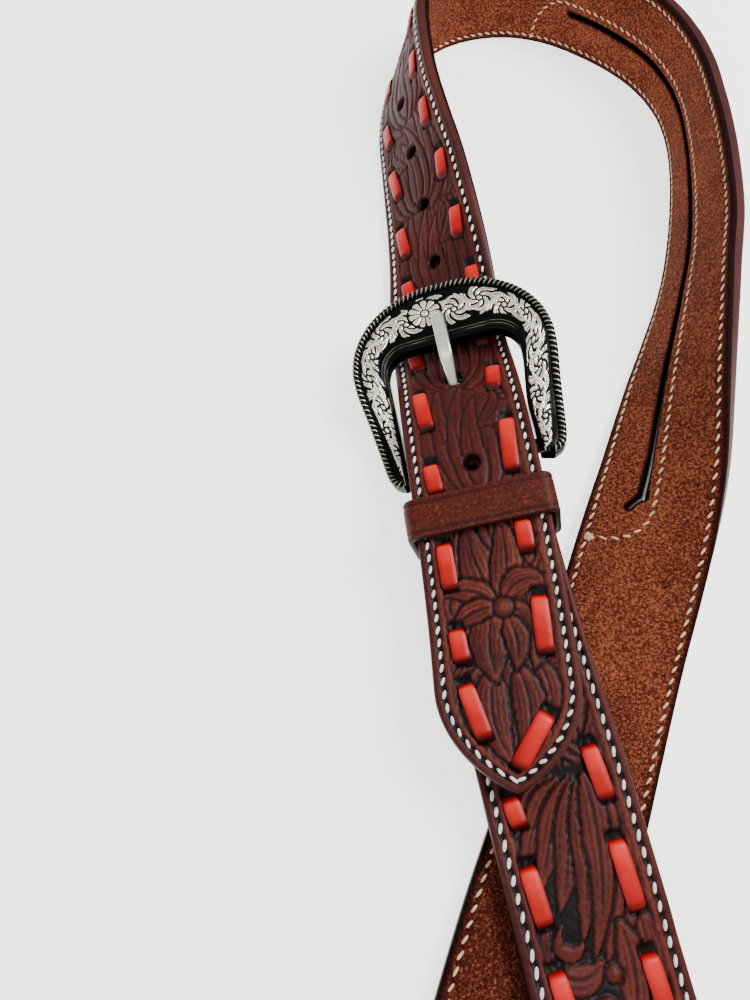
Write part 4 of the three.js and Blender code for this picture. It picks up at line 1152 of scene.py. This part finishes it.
def scroll_relief(a, q, length, half_band, flower_at):
    """Running leaf scrolls: a is distance along the band, q across it; 0 is ground, 1 the raised top."""
    period = length / 9
    sway = np.sin(2 * np.pi * a / period)
    vine = half_band * 0.5 * sway
    raised = 1 - smooth(np.abs(q - vine), 0.22, 0.42)
    for k in range(-1, 19):
        way = 1 if k % 2 == 0 else -1
        ca, cq = (k / 2 + 0.25) * period, -half_band * 0.22 * way
        r = np.hypot(a - ca, q - cq)
        angle = np.arctan2(q - cq, a - ca) * way
        swirl = (6 * (angle / (2 * np.pi)) + r * 0.42) % 1
        edge = np.abs(swirl - 0.5)
        notch = 4.6 - 1.1 * np.cos(2 * np.pi * 6 * angle / (2 * np.pi) + r)
        blade = (1 - smooth(edge, 0.27, 0.37)) * (1 - smooth(r, notch - 0.5, notch))
        rib = 1 - 0.8 * bell(swirl - 0.42, 0.06) * smooth(r, 1.6, 2.4)
        rib = rib - 0.5 * bell(swirl - 0.62, 0.05) * smooth(r, 2.2, 3.0)
        raised = np.maximum(raised, blade * rib * smooth(r, 0.9, 1.3))
        raised = np.maximum(raised, 1 - smooth(r, 0.45, 0.8))
    r = np.hypot(a - flower_at, q)
    angle = np.arctan2(q, a - flower_at)
    petals = np.abs(np.cos(5.5 * angle))
    bloom = smooth(petals, 0.25, 0.5) * (1 - smooth(r, 3.6 + 0.5 * petals, 4.1 + 0.5 * petals))
    bloom = np.maximum(bloom * smooth(r, 1.2, 1.5), 1 - smooth(r, 0.8, 1.1))
    return np.where(r < 4.9, bloom, raised)


def buckle_plate(inner, outer):
    """The frame's domed band with its raised scrolls, from leg to leg."""
    columns = 76
    across = outer - inner
    width = np.linalg.norm(across, axis=1)[:, None]
    f = np.linspace(0, 1, columns)[None]
    xy = inner[:, None] + across[:, None] * f[..., None]
    d_in, d_out = f * width, (1 - f) * width
    mid = (inner + outer) / 2
    run = run_along(mid)[:, None]
    far = smooth(xy[..., 1], 20, 34)
    band_in, band_out = 0.9 + 3.0 * far, 3.1 - 0.5 * far
    half_band = np.maximum((width - band_in - band_out) / 2, 0.4)
    q = d_in - band_in - half_band
    inside = np.abs(q) < half_band
    flower_at = run[np.argmin(np.abs(mid[:, 0] + 4.5) + 100 * (mid[:, 1] < 30)), 0]
    raised = scroll_relief(run + 0 * q, q, run[-1, 0], half_band, flower_at)
    raised = raised * (1 - smooth(np.abs(q) - half_band, -0.5, 0))
    lines = far * (bell(d_in - 1.6, 0.2) + bell(d_in - 2.4, 0.2))
    dome = 0.55 * (1 - (q / (half_band + 1.5)) ** 2)
    lift = np.where(inside, 0.42 * raised, 0) + 0.28 * lines + np.clip(dome, -0.3, 1)
    top = FRAME_THICKNESS / 2 - 0.45 + lift - edge_drop(d_in, 0.5) - edge_drop(d_out, 0.8)
    tone = np.clip(np.where(inside, raised, 0) + 0.45 * lines * (d_in > 0.3), 0, 1)
    rise = frame_rise(xy[..., 1])
    under = rise - FRAME_THICKNESS / 2 + edge_drop(np.minimum(d_in, d_out), 0.6)
    upper, lower = np.dstack([xy, top + rise]), np.dstack([xy, under])
    points = np.concatenate([upper, lower[:, ::-1]], 1)
    # The top's tone is the blackened ground and bright raised scrolls; the underside is painted near black as
    # painted shade, darkening the inner wall too.
    shade = np.concatenate([tone, np.full_like(tone, 0.1)], 1)
    return gridded(points, shade)


def twisted_rope(outer):
    """The rope edge, two strands laid round each other."""
    rows, radius, lay = 900, 1.0, 1.4
    path = smoothed(outer, rows, 2)
    ahead = unit(np.gradient(path, axis=0))
    out = np.stack([ahead[:, 1], -ahead[:, 0]], 1)
    if (out[rows // 2] @ path[rows // 2]) < 0:
        out = -out
    run = run_along(path)[:, None]
    a = full_turn(16)[None]
    strand = 0.5 + 0.5 * np.cos(2 * (a - 2 * np.pi * run / (2 * lay)))
    r = radius * (0.72 + 0.28 * np.sqrt(strand))
    level = FRAME_THICKNESS / 2 - 0.35 + frame_rise(path[:, 1])[:, None]
    xy = path[:, None] + out[:, None] * (-0.75 + r * np.cos(a))[..., None]
    points = np.dstack([xy, level + r * np.sin(a)])
    # Black between the strands and bright on their crests, the blackened silver; lighter on top and darker
    # below as painted highlight and painted shade.
    return gridded(points, 0.02 + 0.62 * strand ** 3 * (0.62 + 0.38 * np.sin(a)))


def round_bar(x0, x1, radius):
    x = np.linspace(x0, x1, 30)[:, None]
    a = full_turn(24)[None]
    points = np.dstack([x + 0 * a, radius * np.cos(a) + 0 * x, radius * np.sin(a) + 0 * x])
    # Painted near black: painted shade, for the bar lying in the leather's shadow.
    return gridded(points, 0.15)


inner_line, outer_line = buckle_outlines(PLATE_ROWS)
heel_bar = round_bar(-OPENING[0] - 1, OPENING[0] + 1, BAR_RADIUS)
points, faces, tones = joined([buckle_plate(inner_line, outer_line), twisted_rope(outer_line), heel_bar])
make_object("engraved_buckle", "buckle", "buckle_silver", (on_buckle(points), faces, tones), ["buckle_frame"])

# ---- tongue ----
TONGUE_LINE = [(0, 0), (7, 0.4), (13, 0.4), (17.6, 1.2), (21.4, 3.8), (25.2, 7.5), (29, 9.8), (36, 10.5),
               (41, 10.7)]      # along and out of the buckle, from the heel bar
TONGUE_HALF_WIDTH, TONGUE_HALF_DEPTH, TONGUE_ROWS = 1.85, 1.35, 110


def tongue_blade():
    """A bevelled blade, narrow where it goes through the hole, with a thinned and rounded tip."""
    middle = catmull_rom(TONGUE_LINE, np.linspace(0.05, 1, TONGUE_ROWS))
    ahead = unit(np.gradient(middle, axis=0))
    up = np.stack([-ahead[:, 1], ahead[:, 0]], 1)
    t = np.linspace(0, 1, TONGUE_ROWS)[:, None]
    tip = smooth(1 - t, 0, 0.06)
    rounding = np.sqrt(1 - (0.999 * np.clip((t - 0.97) / 0.03, 0, 1)) ** 2)
    half = TONGUE_HALF_WIDTH * (0.55 + 0.45 * tip) * (0.62 + 0.38 * smooth(t, 0.42, 0.72)) * rounding
    depth = TONGUE_HALF_DEPTH * (0.35 + 0.65 * tip) * rounding
    a = np.radians([-50, -20, 0, 20, 50, 70, 90, 110, 130, 160, 180, 200, 230, 270])[None]
    x = half * np.clip(1.35 * np.cos(a), -1, 1)
    z = depth * np.clip(1.25 * np.sin(a), -1, 1)
    points = np.dstack([TONGUE_ACROSS + x, middle[:, :1] + up[:, :1] * z, middle[:, 1:] + up[:, 1:] * z])
    # Painted shade on the blade's right side and a painted highlight along its top.
    return gridded(points, 0.72 - 0.45 * (x > 0.8 * half) + 0.1 * (z > 0.8 * depth))


def tongue_eye():
    """The ring round the heel bar."""
    a = full_turn(48)[:, None]
    section = np.array([(2.3, -1.5), (2.6, -1.8), (4.0, -1.8), (4.3, -1.4),
                        (4.3, 1.4), (4.0, 1.8), (2.6, 1.8), (2.3, 1.5)])
    r, x = section[None, :, 0], section[None, :, 1]
    points = np.dstack([TONGUE_ACROSS + x + 0 * a, r * np.cos(a), r * np.sin(a)])
    return gridded(points, 0.7, wrap_rows=True)


points, faces, tones = joined([tongue_blade(), tongue_eye()])
make_object("bevelled_tongue", "tongue", "tongue_silver", (on_buckle(points), faces, tones),
            ["buckle_tongue"])


# ---- screws of the bit ends ----
SCREW_BOTTOM, SCREW_TOP = SCREW_LIFT - 0.3, SCREW_LIFT + STACK + THICKNESS + 0.3


def screw_head(centre, sign):
    """A low domed head with a slot; sign is which way it faces."""
    r = np.concatenate([[0.02], np.linspace(0.4, 4.6, 16), [4.85, 5.0, 5.0]])[:, None]
    z = np.append(1.2 * np.sqrt(1 - (np.linspace(0, 4.6, 17) / 6.4) ** 2), [0.62, 0.35, 0])[:, None]
    a = full_turn(64)[None]
    x, y = r * np.cos(a), r * np.sin(a)
    slot = (1 - smooth(np.abs(y), 0.35, 0.6)) * (1 - smooth(np.abs(x), 3.2, 3.8))
    points = centre + np.dstack([x, y * sign, (z - 0.6 * slot) * sign])
    # The slot is painted dark, painted shade in it.
    points, faces, tone = gridded(points, 0.78 - 0.6 * slot)
    return points, faces[:, ::-1], {"tone": tone}


for strap, laid, spots in (("crown", CROWN_LAID, (-2, -18)), ("cheek", CHEEK_LAID, (34, 45))):
    end, onward = laid[1][-1] * [1, 1, 0], unit(laid[4][-1] * [1, 1, 0])
    for k, spot in enumerate(spots, 1):
        for part, level, sign in (("post", SCREW_BOTTOM, -1), ("screw", SCREW_TOP, 1)):
            head = screw_head(end + onward * spot + [0, 0, level], sign)
            make_object(f"{strap}_bit_{part}_{k}_head", "straps", "screw_metal", head,
                        [f"{strap}_bit_screw_{k}_{part}"])

# ---- floor, light and camera ----
floor_mesh = bpy.data.meshes.new("floor")
floor_mesh.from_pydata([(-3, -3, 0), (3, -3, 0), (3, 3, 0), (-3, 3, 0)], [], [(0, 1, 2, 3)])
floor = bpy.data.objects.new("floor", floor_mesh)
floor_look = Shader("floor", 0.95, 0.1)
floor_look.main.inputs["Base Color"].default_value = (0.9, 0.9, 0.89, 1)
floor_look.main.inputs["Emission Color"].default_value = (1, 1, 0.975, 1)
floor_look.main.inputs["Emission Strength"].default_value = 1.9
floor_mesh.materials.append(LOOKS["floor"])
bpy.context.scene.collection.objects.link(floor)


def soft_light(name, place, target, size, power):
    """A square light turned to its target."""
    data = bpy.data.lights.new(name, "AREA")
    data.shape = "SQUARE"
    data.size, data.energy = size, power
    obj = bpy.data.objects.new(name, data)
    obj.location = place
    obj.rotation_euler = (Vector(target) - Vector(place)).to_track_quat("-Z", "Y").to_euler()
    bpy.context.scene.collection.objects.link(obj)


soft_light("key", (0.45, 0.25, 0.75), (0, 0.05, 0), 0.35, 11)
soft_light("fill", (-0.5, -0.4, 0.9), (0, 0, 0), 0.8, 3)
world = bpy.data.worlds.new("sky")
world.use_nodes = True
world.node_tree.nodes["Background"].inputs["Color"].default_value = (1, 1, 1, 1)
world.node_tree.nodes["Background"].inputs["Strength"].default_value = 0.6
bpy.context.scene.world = world

CAMERA_HEIGHT, CAMERA_TILT = 181, 25
lens = bpy.data.cameras.new("camera")
lens.lens, lens.sensor_width = 27, 36
camera = bpy.data.objects.new("camera", lens)
camera.location = to_frame([0, 0, CAMERA_HEIGHT])
camera.rotation_euler = (math.radians(CAMERA_TILT), 0, 0)
lens.clip_start = 0.01
bpy.context.scene.collection.objects.link(camera)
bpy.context.scene.camera = camera
